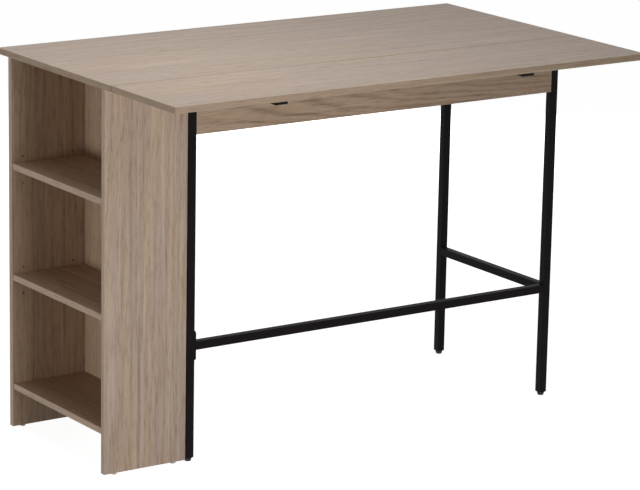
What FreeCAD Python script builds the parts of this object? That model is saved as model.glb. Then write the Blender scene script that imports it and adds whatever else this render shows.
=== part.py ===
"""Counter-height kitchen table with an open shelf cabinet under its left end and a drop leaf in front.

The boards are 15 mm laminated chipboard and the frame is square steel tube. The frame stands with +X
along the length, +Y to the back and +Z up, its origin on the floor under the middle of the open table.
"""
import FreeCAD
import Part
import Sketcher
import math
import os

from FreeCAD import Placement, Rotation, Vector

# Driving sizes in millimetres, one sheet cell each
SIZES = {
    # Boards and the top
    "board": 15,
    "edge_round": 0.8,
    "top_length": 1306,
    "main_depth": 522,
    "leaf_depth": 270,
    "leaf_gap": 2,
    "overall_height": 920,
    "left_overhang": 8,
    "right_overhang": 18,
    "front_overhang": 34,
    "rear_overhang": 36,
    # Cabinet
    "cabinet_depth": 218,
    "panel_setback": 5,
    "back_recess": 5,
    "shelf_recess": 2,
    "shelf_side_gap": 0.5,
    "shelf_back_gap": 1,
    "bottom_shelf_top": 112,
    # Aprons
    "apron_height": 128,
    "notch_gap": 1.5,
    # Steel tube
    "tube_size": 20,
    "tube_wall": 1.2,
    "tube_round": 1.2,
    "stretcher_top": 288,
    # Flange plate of the long stretcher
    "flange_height": 70,
    "flange_sheet": 4,
    "flange_chamfer": 4,
    "flange_bolt_pitch": 48,
    # Feet and glides
    "foot_height": 9,
    "foot_gap": 0.3,
    "foot_top_radius": 9.5,
    "foot_floor_radius": 7.5,
    "foot_edge": 1.5,
    "stud_radius": 4,
    "stud_length": 24,
    "insert_length": 22,
    "glide_height": 4,
    "glide_radius": 7,
    "glide_edge": 1.5,
    "glide_inset": 30,
    "nail_radius": 0.9,
    "nail_length": 14,
    # Folding leaf brackets
    "bracket_inset": 63,
    "arm_width": 28,
    "arm_height": 20,
    "arm_sheet": 2,
    "arm_side_gap": 0.3,
    "swing_reach": 220,
    "fixed_reach": 220,
    "arm_nose": 3,
    "arm_heel": 20,
    "arm_web_start": 12,
    "pivot_drop": 5,
    "pivot_boss_radius": 4.5,
    "pivot_radius": 3,
    "pivot_head_radius": 4.5,
    "pivot_head": 2,
    "pivot_play": 0.1,
    # Butt hinges on the same axis
    "hinge_length": 60,
    "hinge_width": 26,
    "hinge_sheet": 2,
    "hinge_inset": 4.5,
    "hinge_screw_reach": 16,
    "knuckle_radius": 4,
    "knuckle_gap": 0.4,
    "hinge_pin_radius": 2,
    "hinge_pin_head_radius": 3,
    "hinge_pin_head": 1.2,
    # Apron tabs and angle brackets
    "tab_length": 40,
    "tab_height": 80,
    "tab_sheet": 3,
    "angle_leg": 26,
    "angle_width": 30,
    "angle_sheet": 2,
    # Wood screws
    "screw_shank_radius": 1.75,
    "screw_head_radius": 3.8,
    "screw_head": 2.4,
    "screw_crown": 0.9,
    "screw_length": 13,
    "screw_tip": 3,
    "screw_access_radius": 5.5,
    # Machine bolts and their nuts
    "bolt_radius": 3,
    "bolt_head_radius": 5.2,
    "bolt_head": 3.3,
    "bolt_crown": 1,
    "bolt_socket": 4,
    "bolt_socket_depth": 2,
    "bolt_hole_gap": 0.3,
    "flange_bolt_length": 17,
    "rivet_nut_radius": 4.5,
    "rivet_nut_collar_radius": 6,
    "rivet_nut_collar": 2,
    "rivet_nut_length": 12,
    "end_nut_length": 14,
    "panel_insert_radius": 5,
    "panel_insert_length": 18,
    "bolt_end_gap": 2,
    # Cam fittings
    "cam_radius": 7.5,
    "cam_depth": 12,
    "cam_offset": 24,
    "cam_slot": 1.5,
    "cam_bore_radius": 4,
    "cam_bolt_thread_radius": 2.5,
    "cam_bolt_thread": 10,
    "cam_bolt_collar_radius": 3.5,
    "cam_bolt_collar": 2.5,
    "cam_bolt_neck_radius": 2,
    "cam_bolt_head_radius": 3.3,
    "cam_bolt_head": 4,
    "cam_head_gap": 0.4,
    "cam_front_inset": 60,
    "cam_rear_inset": 53,
    # Dowels
    "dowel_radius": 4,
    "dowel_short": 10,
    "dowel_long": 18,
    "dowel_edge": 0.8,
    # Shelf pins and their rows of holes
    "pin_radius": 2.5,
    "pin_seat": 8,
    "pin_reach": 9,
    "pin_hole_depth": 9,
    "pin_pitch": 32,
    "pin_front_inset": 30,
    "pin_rear_inset": 33,
    # Fits and cuts
    "fit": 0.05,
    "tube_fit": 0.1,
    "bore_end_gap": 0.5,
    "overrun": 5,
}

# Places along a carrying piece, as shares of its length
HINGE_PLACE_SHARES = (-0.41, 0, 0.41)
HINGE_SCREW_SHARES = (0.16, 0.5, 0.84)
KNUCKLE_END_SHARES = (0, 1 / 3, 2 / 3, 1)
SWING_SCREW_SHARES = (0.2, 0.52, 0.84)
FIXED_SCREW_SHARES = (0.3, 0.6, 0.9)
RAIL_SCREW_SHARES = (0.15, 0.5, 0.85)
APRON_ANGLE_SHARES = (0.25, 0.75)
TAB_SCREW_SHARES = (0.25, 0.75)
ANGLE_SCREW_SHARE = 0.6
PANEL_BOLT_SHARES = (0.13, 0.45, 0.77)
BACK_CAM_SHARES = (0.1, 0.9)
BACK_DOWEL_SHARES = (0.2, 0.8)
DOWEL_ROW_SHARES = (0.16, 0.52)
SCREW_CROWN_SHARE = 0.6
HALF_SHARE = 0.5
TAB_SCREW_REACH_SHARE = 0.6


class Size:
    """A length as a formula on the sheet's cells, so that whatever it sets follows them."""

    def __init__(self, text):
        self.text = str(text)

    def __add__(self, other):
        return Size(f"({self.text} + {text_of(other)})")

    def __sub__(self, other):
        return Size(f"({self.text} - {text_of(other)})")

    def __mul__(self, factor):
        return Size(f"({self.text} * {text_of(factor)})")

    __rmul__ = __mul__

    def __truediv__(self, divisor):
        return Size(f"({self.text} / {text_of(divisor)})")

    def __neg__(self):
        return Size(f"(-1 * {self.text})")


def text_of(value):
    """The formula text of a Size or a plain number."""
    return value.text if isinstance(value, Size) else repr(value)


class Cells:
    """The sheet's cells by name, each as a Size."""

    def __getattr__(self, name):
        if name not in SIZES:
            raise AttributeError(name)
        return Size(f"Sizes.{name}")


doc = FreeCAD.newDocument("kitchen_table")
sheet = doc.addObject("Spreadsheet::Sheet", "Sizes")
for row, (size_name, size_value) in enumerate(SIZES.items(), 1):
    sheet.set(f"A{row}", size_name)
    sheet.set(f"B{row}", str(size_value))
    sheet.setAlias(f"B{row}", size_name)
doc.recompute()

cell = Cells()
ZERO = Size(0)
subparts = {}

# Turns that lay a piece's own axes along the table's
UPRIGHT = Rotation()
ABOUT_FACE = Rotation(Vector(0, 0, 1), 180)
ON_SIDE = Rotation(Vector(1, 0, 0), 90)
ALONG_X = Rotation(Vector(1, 1, 1), 120)
ALONG_Y = Rotation(Vector(1, 1, 1), 240)
LEFT, RIGHT = Vector(-1, 0, 0), Vector(1, 0, 0)
FRONT, BACK = Vector(0, -1, 0), Vector(0, 1, 0)
DOWN, UP = Vector(0, 0, -1), Vector(0, 0, 1)


def turned(z_to, x_to=None):
    """The turn that points a piece's own Z, and if given its X, in these directions."""
    if x_to is None:
        return Rotation(UP, z_to)
    return Rotation(x_to, z_to.cross(x_to), z_to, "ZXY")


# Planes that several pieces share
under_top = cell.overall_height - cell.board
top_left = cell.top_length / -2
top_right = cell.top_length / 2
leaf_front = (cell.main_depth + cell.leaf_gap + cell.leaf_depth) / -2
main_front = leaf_front + cell.leaf_depth + cell.leaf_gap
frame_front = main_front + cell.front_overhang
frame_rear = main_front + cell.main_depth - cell.rear_overhang
apron_inner = frame_front + cell.board
inner_front = apron_inner + cell.panel_setback
inner_rear = frame_rear - cell.board
inner_width = inner_rear - inner_front
cabinet_left = top_left + cell.left_overhang
panel_right = cabinet_left + cell.cabinet_depth
panel_height = under_top - cell.glide_height
back_front = panel_right - cell.back_recess - cell.board
left_leg_right = panel_right + cell.tube_size
right_leg_left = top_right - cell.right_overhang - cell.tube_size
right_leg_right = top_right - cell.right_overhang
rear_leg_front = frame_rear - cell.tube_size
front_leg_rear = frame_front + cell.tube_size
apron_bottom = under_top - cell.apron_height
apron_length = right_leg_left - left_leg_right
rail_length = rear_leg_front - front_leg_rear
stretcher_bottom = cell.stretcher_top - cell.tube_size
bottom_shelf_under = cell.bottom_shelf_top - cell.board
shelf_clear_height = (under_top - cell.bottom_shelf_top - cell.board * 2) / 3
middle_shelf_under = cell.bottom_shelf_top + shelf_clear_height
upper_shelf_under = middle_shelf_under + cell.board + shelf_clear_height
axis_y = main_front - cell.leaf_gap / 2
axis_z = under_top - cell.pivot_drop
half_board = cell.board / 2
half_tube = cell.tube_size / 2
screw_hole_radius = cell.screw_shank_radius + cell.fit
bolt_hole_radius = cell.bolt_radius + cell.bolt_hole_gap
fixed_arm_width = cell.arm_width - (cell.arm_sheet + cell.arm_side_gap) * 2


def number(size):
    """The value that a formula has now."""
    return float(sheet.evalExpression(text_of(size)))


def place(piece, x, y, z, turn=UPRIGHT):
    """Put a piece's own origin at x, y, z, with its axes turned."""
    piece.Placement = Placement(Vector(), turn)
    for axis, value in zip("xyz", (x, y, z)):
        piece.setExpression(f"Placement.Base.{axis}", value.text)


def new_body(label):
    """An empty body whose label names the piece."""
    body = doc.addObject("PartDesign::Body", label)
    body.Label = label
    return body


def sketch_across(body, axis, level=ZERO):
    """An empty sketch square to one of the body's own axes, at a level along it."""
    role = {"x": "YZ_Plane", "y": "XZ_Plane", "z": "XY_Plane"}[axis]
    plane = [part for part in body.Origin.OriginFeatures if part.Role == role][0]
    sketch = body.newObject("Sketcher::SketchObject", f"{body.Name}_sketch")
    sketch.AttachmentSupport = [(plane, "")]
    sketch.MapMode = "FlatFace"
    raised = -level if axis == "y" else level
    sketch.setExpression("AttachmentOffset.Base.z", raised.text)
    return sketch


def constrain(sketch, constraint, size):
    """Add a constraint whose value is a formula."""
    index = sketch.addConstraint(constraint)
    sketch.setExpression(f"Constraints[{index}]", size.text)


def tie_point(sketch, geometry, end, u, v):
    """Tie one point of a line or circle to the sketch's axes."""
    constrain(sketch, Sketcher.Constraint("DistanceX", -1, 1, geometry, end, number(u)), u)
    constrain(sketch, Sketcher.Constraint("DistanceY", -1, 1, geometry, end, number(v)), v)


def draw_polygon(sketch, points):
    """A closed outline of straight lines through the points."""
    corners = [Vector(number(u), number(v), 0) for u, v in points]
    lines = []
    for start, stop in zip(corners, corners[1:] + corners[:1]):
        lines.append(sketch.addGeometry(Part.LineSegment(start, stop)))
    for line, after in zip(lines, lines[1:] + lines[:1]):
        sketch.addConstraint(Sketcher.Constraint("Coincident", line, 2, after, 1))
    for line, (u, v) in zip(lines, points):
        tie_point(sketch, line, 1, u, v)


def draw_rectangle(sketch, u_low, v_low, u_high, v_high):
    """A rectangle between two corners."""
    draw_polygon(sketch, [(u_low, v_low), (u_high, v_low), (u_high, v_high), (u_low, v_high)])


def draw_circle(sketch, u, v, radius):
    """A circle about a point."""
    centre = Vector(number(u), number(v), 0)
    circle = sketch.addGeometry(Part.Circle(centre, Vector(0, 0, 1), number(radius)))
    tie_point(sketch, circle, 3, u, v)
    constrain(sketch, Sketcher.Constraint("Radius", circle, number(radius)), radius)


def pad(body, sketch, length):
    """Raise a sketch into a solid along its plane's normal."""
    feature = body.newObject("PartDesign::Pad", f"{body.Name}_pad")
    feature.Profile = sketch
    feature.setExpression("Length", length.text)
    return feature


def pocket(body, sketch, axis, depth, forward):
    """Cut a sketch into the solid, towards the plus end of the axis if forward."""
    feature = body.newObject("PartDesign::Pocket", f"{body.Name}_cut")
    feature.Profile = sketch
    feature.Reversed = forward != (axis == "y")
    feature.setExpression("Length", depth.text)
    return feature


def drill(body, axis, level, depth, holes, forward=True):
    """Drill round holes, each given as u, v and radius, from a level along one of the body's axes."""
    sketch = sketch_across(body, axis, level)
    for u, v, radius in holes:
        draw_circle(sketch, u, v, radius)
    return pocket(body, sketch, axis, depth, forward)


def round_edges(body, base, radius, wanted=None):
    """Round the base feature's edges, or those of them that are wanted."""
    doc.recompute()
    names = []
    for count, edge in enumerate(base.Shape.Edges, 1):
        if wanted is None or wanted(edge):
            names.append(f"Edge{count}")
    feature = body.newObject("PartDesign::Fillet", f"{body.Name}_rounding")
    feature.Base = (base, names)
    feature.setExpression("Radius", radius.text)
    return feature


def turn_solid(label, profile):
    """A body turned about its own Z from a profile of radius and height points."""
    body = new_body(label)
    sketch = sketch_across(body, "y")
    draw_polygon(sketch, profile)
    feature = body.newObject("PartDesign::Revolution", f"{label}_turning")
    feature.Profile = sketch
    feature.ReferenceAxis = (sketch, ["V_Axis"])
    return body


def keep(label, piece):
    """List a piece as a sub-part under its label."""
    piece.Label = label
    subparts[label] = piece
    return piece


def keep_copies(label, master, places):
    """A group of separate copies of one master piece, each at x, y, z and turned."""
    links = []
    for count, (x, y, z, turn) in enumerate(places, 1):
        link = doc.addObject("App::Link", f"{label}_copy_{count}")
        link.LinkedObject = master
        place(link, x, y, z, turn)
        links.append(link)
    group = doc.addObject("Part::Compound", label)
    group.Links = links
    return keep(label, group)


def make_board(label, width, height):
    """A board lying on its own XY plane, all its edges slightly rounded."""
    body = new_body(label)
    sketch = sketch_across(body, "z")
    draw_rectangle(sketch, ZERO, ZERO, width, height)
    base = pad(body, sketch, cell.board)
    round_edges(body, base, cell.edge_round)
    return keep(label, body)


def make_tube(label, length):
    """A square tube standing on its own XY plane, its outer long edges rounded."""
    body = new_body(label)
    sketch = sketch_across(body, "z")
    far_wall = cell.tube_size - cell.tube_wall
    draw_rectangle(sketch, ZERO, ZERO, cell.tube_size, cell.tube_size)
    draw_rectangle(sketch, cell.tube_wall, cell.tube_wall, far_wall, far_wall)
    base = pad(body, sketch, length)
    inside = number(cell.tube_wall) / 2

    def is_outer_long_edge(edge):
        start, stop = edge.Vertexes[0].Point, edge.Vertexes[-1].Point
        upright = abs(stop.z - start.z) > inside
        return upright and min(start.x, number(cell.tube_size) - start.x) < inside

    round_edges(body, base, cell.tube_round, is_outer_long_edge)
    return keep(label, body)


# Rows of fittings that several boards share
cam_rows = [cabinet_left + cell.cam_front_inset, panel_right - cell.cam_rear_inset]
dowel_rows = [cabinet_left + cell.cabinet_depth * share for share in DOWEL_ROW_SHARES]
back_middle = back_front + half_board
back_height = under_top - cell.bottom_shelf_top
back_cam_heights = [cell.bottom_shelf_top + back_height * share for share in BACK_CAM_SHARES]
back_dowel_height = cell.bottom_shelf_top + back_height * HALF_SHARE
back_dowel_ys = [inner_front + inner_width * share for share in BACK_DOWEL_SHARES]
shelf_middle_z = bottom_shelf_under + half_board
panel_middles = [inner_front - half_board, inner_rear + half_board]
left_bracket_x = left_leg_right + cell.bracket_inset
bracket_xs = [left_bracket_x, -left_bracket_x]
hinge_xs = [cell.top_length * share for share in HINGE_PLACE_SHARES]
rail_xs = [panel_right + half_tube, right_leg_left + half_tube]
rail_screw_ys = [front_leg_rear + rail_length * share for share in RAIL_SCREW_SHARES]
angle_xs = [left_bracket_x - left_bracket_x * 2 * share for share in APRON_ANGLE_SHARES]
angle_screw_reach = cell.angle_leg * ANGLE_SCREW_SHARE
tab_screw_xs = [
    left_leg_right + cell.tab_length * TAB_SCREW_REACH_SHARE,
    right_leg_left - cell.tab_length * TAB_SCREW_REACH_SHARE,
]
tab_bottom = apron_bottom + (cell.apron_height - cell.tab_height) / 2
tab_screw_zs = [tab_bottom + cell.tab_height * share for share in TAB_SCREW_SHARES]
shelf_unders = [middle_shelf_under, upper_shelf_under]
pin_xs = [cabinet_left + cell.pin_front_inset, back_front - cell.pin_rear_inset]
pin_zs = [under - cell.pin_radius for under in shelf_unders]
panel_bolt_zs = [cell.glide_height + panel_height * share for share in PANEL_BOLT_SHARES]
flange_bolt_zs = [
    stretcher_bottom + half_tube - cell.flange_bolt_pitch / 2,
    stretcher_bottom + half_tube + cell.flange_bolt_pitch / 2,
]
glide_xs = [cabinet_left + cell.glide_inset, panel_right - cell.glide_inset]

hinge_top_screws = []
hinge_leaf_screws = []
for hinge_x in hinge_xs:
    for share in HINGE_SCREW_SHARES:
        screw_x = hinge_x + cell.hinge_length * (share - HALF_SHARE)
        hinge_top_screws.append((screw_x, axis_y + cell.hinge_screw_reach))
        hinge_leaf_screws.append((screw_x, axis_y - cell.hinge_screw_reach))
bracket_top_screws = []
bracket_leaf_screws = []
for bracket_x in bracket_xs:
    for share in FIXED_SCREW_SHARES:
        bracket_top_screws.append((bracket_x, axis_y + cell.fixed_reach * share))
    for share in SWING_SCREW_SHARES:
        bracket_leaf_screws.append((bracket_x, axis_y - cell.swing_reach * share))
rail_screws = [(x, y) for x in rail_xs for y in rail_screw_ys]
angle_top_screws = []
for angle_x in angle_xs:
    angle_top_screws.append((angle_x, apron_inner + angle_screw_reach))
    angle_top_screws.append((angle_x, inner_rear - angle_screw_reach))


def make_main_top():
    """The fixed board of the top, drilled from below for everything that holds it."""
    board = make_board("main_top", cell.top_length, cell.main_depth)
    place(board, top_left, main_front, under_top)

    def drill_under(spots, radius, depth):
        holes = [(x - top_left, y - main_front, radius) for x, y in spots]
        drill(board, "z", ZERO, depth, holes)

    pilot = cell.screw_length + cell.bore_end_gap
    drill_under(hinge_top_screws, screw_hole_radius, pilot - cell.hinge_sheet)
    drill_under(bracket_top_screws, screw_hole_radius, pilot - cell.arm_sheet)
    drill_under(angle_top_screws, screw_hole_radius, pilot - cell.angle_sheet)
    drill_under(rail_screws, screw_hole_radius, pilot - cell.tube_wall)
    cams = [(x, y) for x in cam_rows for y in panel_middles]
    drill_under(cams, cell.cam_bolt_thread_radius + cell.fit, cell.cam_bolt_thread + cell.bore_end_gap)
    dowels = [(x, y) for x in dowel_rows for y in panel_middles]
    drill_under(dowels, cell.dowel_radius + cell.fit, cell.dowel_short + cell.bore_end_gap)


def make_drop_leaf():
    """The hinged board in front of the main top."""
    board = make_board("drop_leaf", cell.top_length, cell.leaf_depth)
    place(board, top_left, leaf_front, under_top)
    pilot = cell.screw_length + cell.bore_end_gap
    for spots, sheet_size in ((hinge_leaf_screws, cell.hinge_sheet), (bracket_leaf_screws, cell.arm_sheet)):
        holes = [(x - top_left, y - leaf_front, screw_hole_radius) for x, y in spots]
        drill(board, "z", ZERO, pilot - sheet_size, holes)


def make_side_panel(label, origin_y, inner_level, inward):
    """One upright side of the cabinet, its own Z pointing to the front of the table."""
    board = make_board(label, cell.cabinet_depth, panel_height)
    place(board, cabinet_left, origin_y, cell.glide_height, ON_SIDE)

    def drill_inner(spots, radius, depth):
        holes = [(x - cabinet_left, z - cell.glide_height, radius) for x, z in spots]
        drill(board, "z", inner_level, depth, holes, inward)

    pin_holes = []
    for x in pin_xs:
        for z in pin_zs:
            pin_holes += [(x, z - cell.pin_pitch), (x, z), (x, z + cell.pin_pitch)]
    drill_inner(pin_holes, cell.pin_radius + cell.fit, cell.pin_hole_depth)
    cams = [(x, under_top - cell.cam_offset) for x in cam_rows]
    drill_inner(cams, cell.cam_radius + cell.fit, cell.cam_depth + cell.bore_end_gap)
    bolts = [(x, shelf_middle_z) for x in cam_rows]
    bolts += [(back_middle, z) for z in back_cam_heights]
    drill_inner(bolts, cell.cam_bolt_thread_radius + cell.fit, cell.cam_bolt_thread + cell.bore_end_gap)
    dowels = [(x, shelf_middle_z) for x in dowel_rows]
    dowels.append((back_middle, back_dowel_height))
    drill_inner(dowels, cell.dowel_radius + cell.fit, cell.dowel_short + cell.bore_end_gap)

    top_bores = [(x - cabinet_left, half_board, cell.cam_bore_radius) for x in cam_rows]
    drill(board, "y", panel_height, cell.cam_offset, top_bores, False)
    top_dowels = [(x - cabinet_left, half_board, cell.dowel_radius + cell.fit) for x in dowel_rows]
    drill(board, "y", panel_height, cell.dowel_long + cell.bore_end_gap, top_dowels, False)
    nails = [(x - cabinet_left, half_board, cell.nail_radius + cell.fit) for x in glide_xs]
    drill(board, "y", ZERO, cell.nail_length + cell.bore_end_gap, nails)
    insert_bore = cell.panel_insert_radius + cell.fit
    inserts = [(z - cell.glide_height, half_board, insert_bore) for z in panel_bolt_zs]
    drill(board, "x", cell.cabinet_depth, cell.panel_insert_length + cell.bore_end_gap, inserts, False)


def make_back_panel():
    """The upright board behind the shelves, standing on the bottom shelf between the sides."""
    board = make_board("cabinet_back_panel", inner_width, back_height)
    place(board, back_front, inner_front, cell.bottom_shelf_top, ALONG_X)
    heights = [z - cell.bottom_shelf_top for z in back_cam_heights]
    ends = (cell.cam_offset, inner_width - cell.cam_offset)
    cams = [(y, z, cell.cam_radius + cell.fit) for y in ends for z in heights]
    drill(board, "z", cell.board, cell.cam_depth + cell.bore_end_gap, cams, False)
    bores = [(z, half_board, cell.cam_bore_radius) for z in heights]
    dowels = [(back_dowel_height - cell.bottom_shelf_top, half_board, cell.dowel_radius + cell.fit)]
    long_bore = cell.dowel_long + cell.bore_end_gap
    for level, forward in ((ZERO, True), (inner_width, False)):
        drill(board, "x", level, cell.cam_offset, bores, forward)
        drill(board, "x", level, long_bore, dowels, forward)
    foot_dowels = [(y - inner_front, half_board, cell.dowel_radius + cell.fit) for y in back_dowel_ys]
    drill(board, "y", ZERO, long_bore, foot_dowels)


def make_bottom_shelf():
    """The fixed shelf, held between the sides by cams and dowels, with the back panel on its rear."""
    left = cabinet_left + cell.shelf_recess
    depth = back_front + cell.board - left
    board = make_board("bottom_shelf", depth, inner_width)
    place(board, left, inner_front, bottom_shelf_under)
    ends = (cell.cam_offset, inner_width - cell.cam_offset)
    cams = [(x - left, y, cell.cam_radius + cell.fit) for x in cam_rows for y in ends]
    drill(board, "z", ZERO, cell.cam_depth + cell.bore_end_gap, cams)
    bores = [(x - left, half_board, cell.cam_bore_radius) for x in cam_rows]
    dowels = [(x - left, half_board, cell.dowel_radius + cell.fit) for x in dowel_rows]
    for level, forward in ((ZERO, True), (inner_width, False)):
        drill(board, "y", level, cell.cam_offset, bores, forward)
        drill(board, "y", level, cell.dowel_long + cell.bore_end_gap, dowels, forward)
    seats = [(back_middle - left, y - inner_front, cell.dowel_radius + cell.fit) for y in back_dowel_ys]
    drill(board, "z", cell.board, cell.dowel_short + cell.bore_end_gap, seats, False)


def make_loose_shelf(label, under):
    """A shelf that lies on four pins."""
    left = cabinet_left + cell.shelf_recess
    depth = back_front - cell.shelf_back_gap - left
    board = make_board(label, depth, inner_width - cell.shelf_side_gap * 2)
    place(board, left, inner_front + cell.shelf_side_gap, under)


def make_apron(label, origin_y, inner_level, inward, notched):
    """A board on edge under the top between two legs, notched over the bracket arms if they pass it."""
    board = make_board(label, apron_length, cell.apron_height)
    place(board, left_leg_right, origin_y, apron_bottom, ON_SIDE)
    pilot = cell.screw_length + cell.bore_end_gap
    tabs = [(x, z) for x in tab_screw_xs for z in tab_screw_zs]
    holes = [(x - left_leg_right, z - apron_bottom, screw_hole_radius) for x, z in tabs]
    drill(board, "z", inner_level, pilot - cell.tab_sheet, holes, inward)
    angle_z = cell.apron_height - angle_screw_reach
    holes = [(x - left_leg_right, angle_z, screw_hole_radius) for x in angle_xs]
    drill(board, "z", inner_level, pilot - cell.angle_sheet, holes, inward)
    if notched:
        half_notch = fixed_arm_width / 2 + cell.notch_gap
        sketch = sketch_across(board, "z", inner_level)
        for x in bracket_xs:
            middle = x - left_leg_right
            low = cell.apron_height - cell.arm_height - cell.notch_gap
            high = cell.apron_height + cell.overrun
            draw_rectangle(sketch, middle - half_notch, low, middle + half_notch, high)
        pocket(board, sketch, "z", cell.board + cell.overrun, inward)


def make_legs():
    """Four upright tubes, drilled across for the bolts that pass them."""
    leg_length = under_top - cell.foot_height
    rows = {
        "front_left_leg": (panel_right, frame_front, panel_middles[0]),
        "rear_left_leg": (panel_right, rear_leg_front, panel_middles[1]),
        "front_right_leg": (right_leg_left, frame_front, None),
        "rear_right_leg": (right_leg_left, rear_leg_front, None),
    }
    through = cell.tube_size + cell.overrun
    for label, (x, y, panel_middle) in rows.items():
        tube = make_tube(label, leg_length)
        place(tube, x, y, cell.foot_height)
        if panel_middle is not None:
            across = panel_middle - y
            holes = [(across, z - cell.foot_height, bolt_hole_radius) for z in panel_bolt_zs]
            drill(tube, "x", ZERO, through, holes)
        if label == "front_left_leg":
            radius = cell.rivet_nut_radius + cell.fit
            holes = [(half_tube, z - cell.foot_height, radius) for z in flange_bolt_zs]
            drill(tube, "x", cell.tube_size, cell.tube_wall + cell.bore_end_gap, holes, False)
        if label == "front_right_leg":
            height = stretcher_bottom + half_tube - cell.foot_height
            drill(tube, "x", ZERO, through, [(half_tube, height, bolt_hole_radius)])


def make_cross_tubes():
    """Rails under the top and stretchers between the legs."""
    for side, x in (("left", panel_right), ("right", right_leg_left)):
        rail = make_tube(f"{side}_end_rail", rail_length)
        place(rail, x, front_leg_rear, under_top - cell.tube_size, ALONG_Y)
        along = [y - front_leg_rear for y in rail_screw_ys]
        access = [(half_tube, y, cell.screw_access_radius) for y in along]
        drill(rail, "x", ZERO, cell.tube_wall + cell.bore_end_gap, access)
        screws = [(half_tube, y, screw_hole_radius) for y in along]
        drill(rail, "x", ZERO, cell.tube_size + cell.overrun, screws)
        stretcher = make_tube(f"{side}_short_stretcher", rail_length)
        place(stretcher, x, front_leg_rear, stretcher_bottom, ALONG_Y)
    start = left_leg_right + cell.flange_sheet
    long_tube = make_tube("long_stretcher", right_leg_left - start)
    place(long_tube, start, frame_front, stretcher_bottom, ALONG_X)


def make_flange_plate():
    """The plate on the left end of the long stretcher, bolted to the front left leg."""
    plate = new_body("stretcher_flange_plate")
    sketch = sketch_across(plate, "z")
    wide, high, cut = cell.tube_size, cell.flange_height, cell.flange_chamfer
    outline = [(cut, ZERO), (wide - cut, ZERO), (wide, cut), (wide, high - cut)]
    outline += [(wide - cut, high), (cut, high), (ZERO, high - cut), (ZERO, cut)]
    draw_polygon(sketch, outline)
    pad(plate, sketch, cell.flange_sheet)
    bottom = stretcher_bottom + half_tube - high / 2
    holes = [(half_tube, z - bottom, bolt_hole_radius) for z in flange_bolt_zs]
    drill(plate, "z", ZERO, cell.flange_sheet + cell.overrun, holes)
    place(plate, left_leg_right, frame_front, bottom, ALONG_X)
    keep("stretcher_flange_plate", plate)


def make_bolt_master(label, length):
    """A button-head bolt with a hexagon socket, its shank along +Z from the face that it clamps."""
    head = cell.bolt_head_radius
    body = turn_solid(label, [
        (ZERO, -cell.bolt_head),
        (head - cell.bolt_crown, -cell.bolt_head),
        (head, cell.bolt_crown - cell.bolt_head),
        (head, ZERO),
        (cell.bolt_radius, ZERO),
        (cell.bolt_radius, length),
        (ZERO, length),
    ])
    sketch = sketch_across(body, "z", -cell.bolt_head)
    reach = cell.bolt_socket / (2 * math.cos(math.pi / 6))
    corners = []
    for count in range(6):
        turn = math.pi * count / 3
        corners.append((reach * math.cos(turn), reach * math.sin(turn)))
    draw_polygon(sketch, corners)
    pocket(body, sketch, "z", cell.bolt_socket_depth, True)
    return body


def make_stretcher_fasteners():
    """The bolts and nuts at the two ends of the long stretcher."""
    middle = stretcher_bottom + half_tube
    leg_middle = frame_front + half_tube
    to_left = turned(LEFT)
    bolt = make_bolt_master("flange_bolt_master", cell.flange_bolt_length)
    head_x = left_leg_right + cell.flange_sheet
    keep_copies("flange_bolts", bolt, [(head_x, leg_middle, z, to_left) for z in flange_bolt_zs])
    bore = cell.bolt_radius + cell.fit
    collar_end = cell.tube_wall + cell.rivet_nut_collar
    nut = turn_solid("rivet_nut_master", [
        (bore, ZERO),
        (cell.rivet_nut_radius, ZERO),
        (cell.rivet_nut_radius, cell.tube_wall),
        (cell.rivet_nut_collar_radius, cell.tube_wall),
        (cell.rivet_nut_collar_radius, collar_end),
        (cell.rivet_nut_radius, collar_end),
        (cell.rivet_nut_radius, cell.rivet_nut_length),
        (bore, cell.rivet_nut_length),
    ])
    keep_copies("rivet_nuts", nut, [(left_leg_right, leg_middle, z, to_left) for z in flange_bolt_zs])
    block = new_body("stretcher_end_nut")
    sketch = sketch_across(block, "z")
    low = cell.tube_wall + cell.tube_fit
    high = cell.tube_size - low
    draw_rectangle(sketch, low, low, high, high)
    draw_circle(sketch, half_tube, half_tube, bore)
    pad(block, sketch, cell.end_nut_length)
    place(block, right_leg_left - cell.end_nut_length, frame_front, stretcher_bottom, ALONG_X)
    keep("stretcher_end_nut", block)
    end_length = cell.tube_size + cell.end_nut_length - cell.bolt_end_gap
    end_bolt = make_bolt_master("stretcher_end_bolt", end_length)
    place(end_bolt, right_leg_right, leg_middle, middle, to_left)
    keep("stretcher_end_bolt", end_bolt)


def make_panel_fasteners():
    """The bolts through the left legs and the threaded inserts that they reach in the cabinet's sides."""
    length = cell.tube_size + cell.panel_insert_length - cell.bolt_end_gap
    bolt = make_bolt_master("panel_bolt_master", length)
    bore = cell.bolt_radius + cell.fit
    insert = turn_solid("panel_insert_master", [
        (bore, ZERO),
        (cell.panel_insert_radius, ZERO),
        (cell.panel_insert_radius, cell.panel_insert_length),
        (bore, cell.panel_insert_length),
    ])
    spots = [(y, z) for y in panel_middles for z in panel_bolt_zs]
    to_left = turned(LEFT)
    keep_copies("panel_bolts", bolt, [(left_leg_right, y, z, to_left) for y, z in spots])
    keep_copies("panel_inserts", insert, [(panel_right, y, z, to_left) for y, z in spots])


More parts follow.
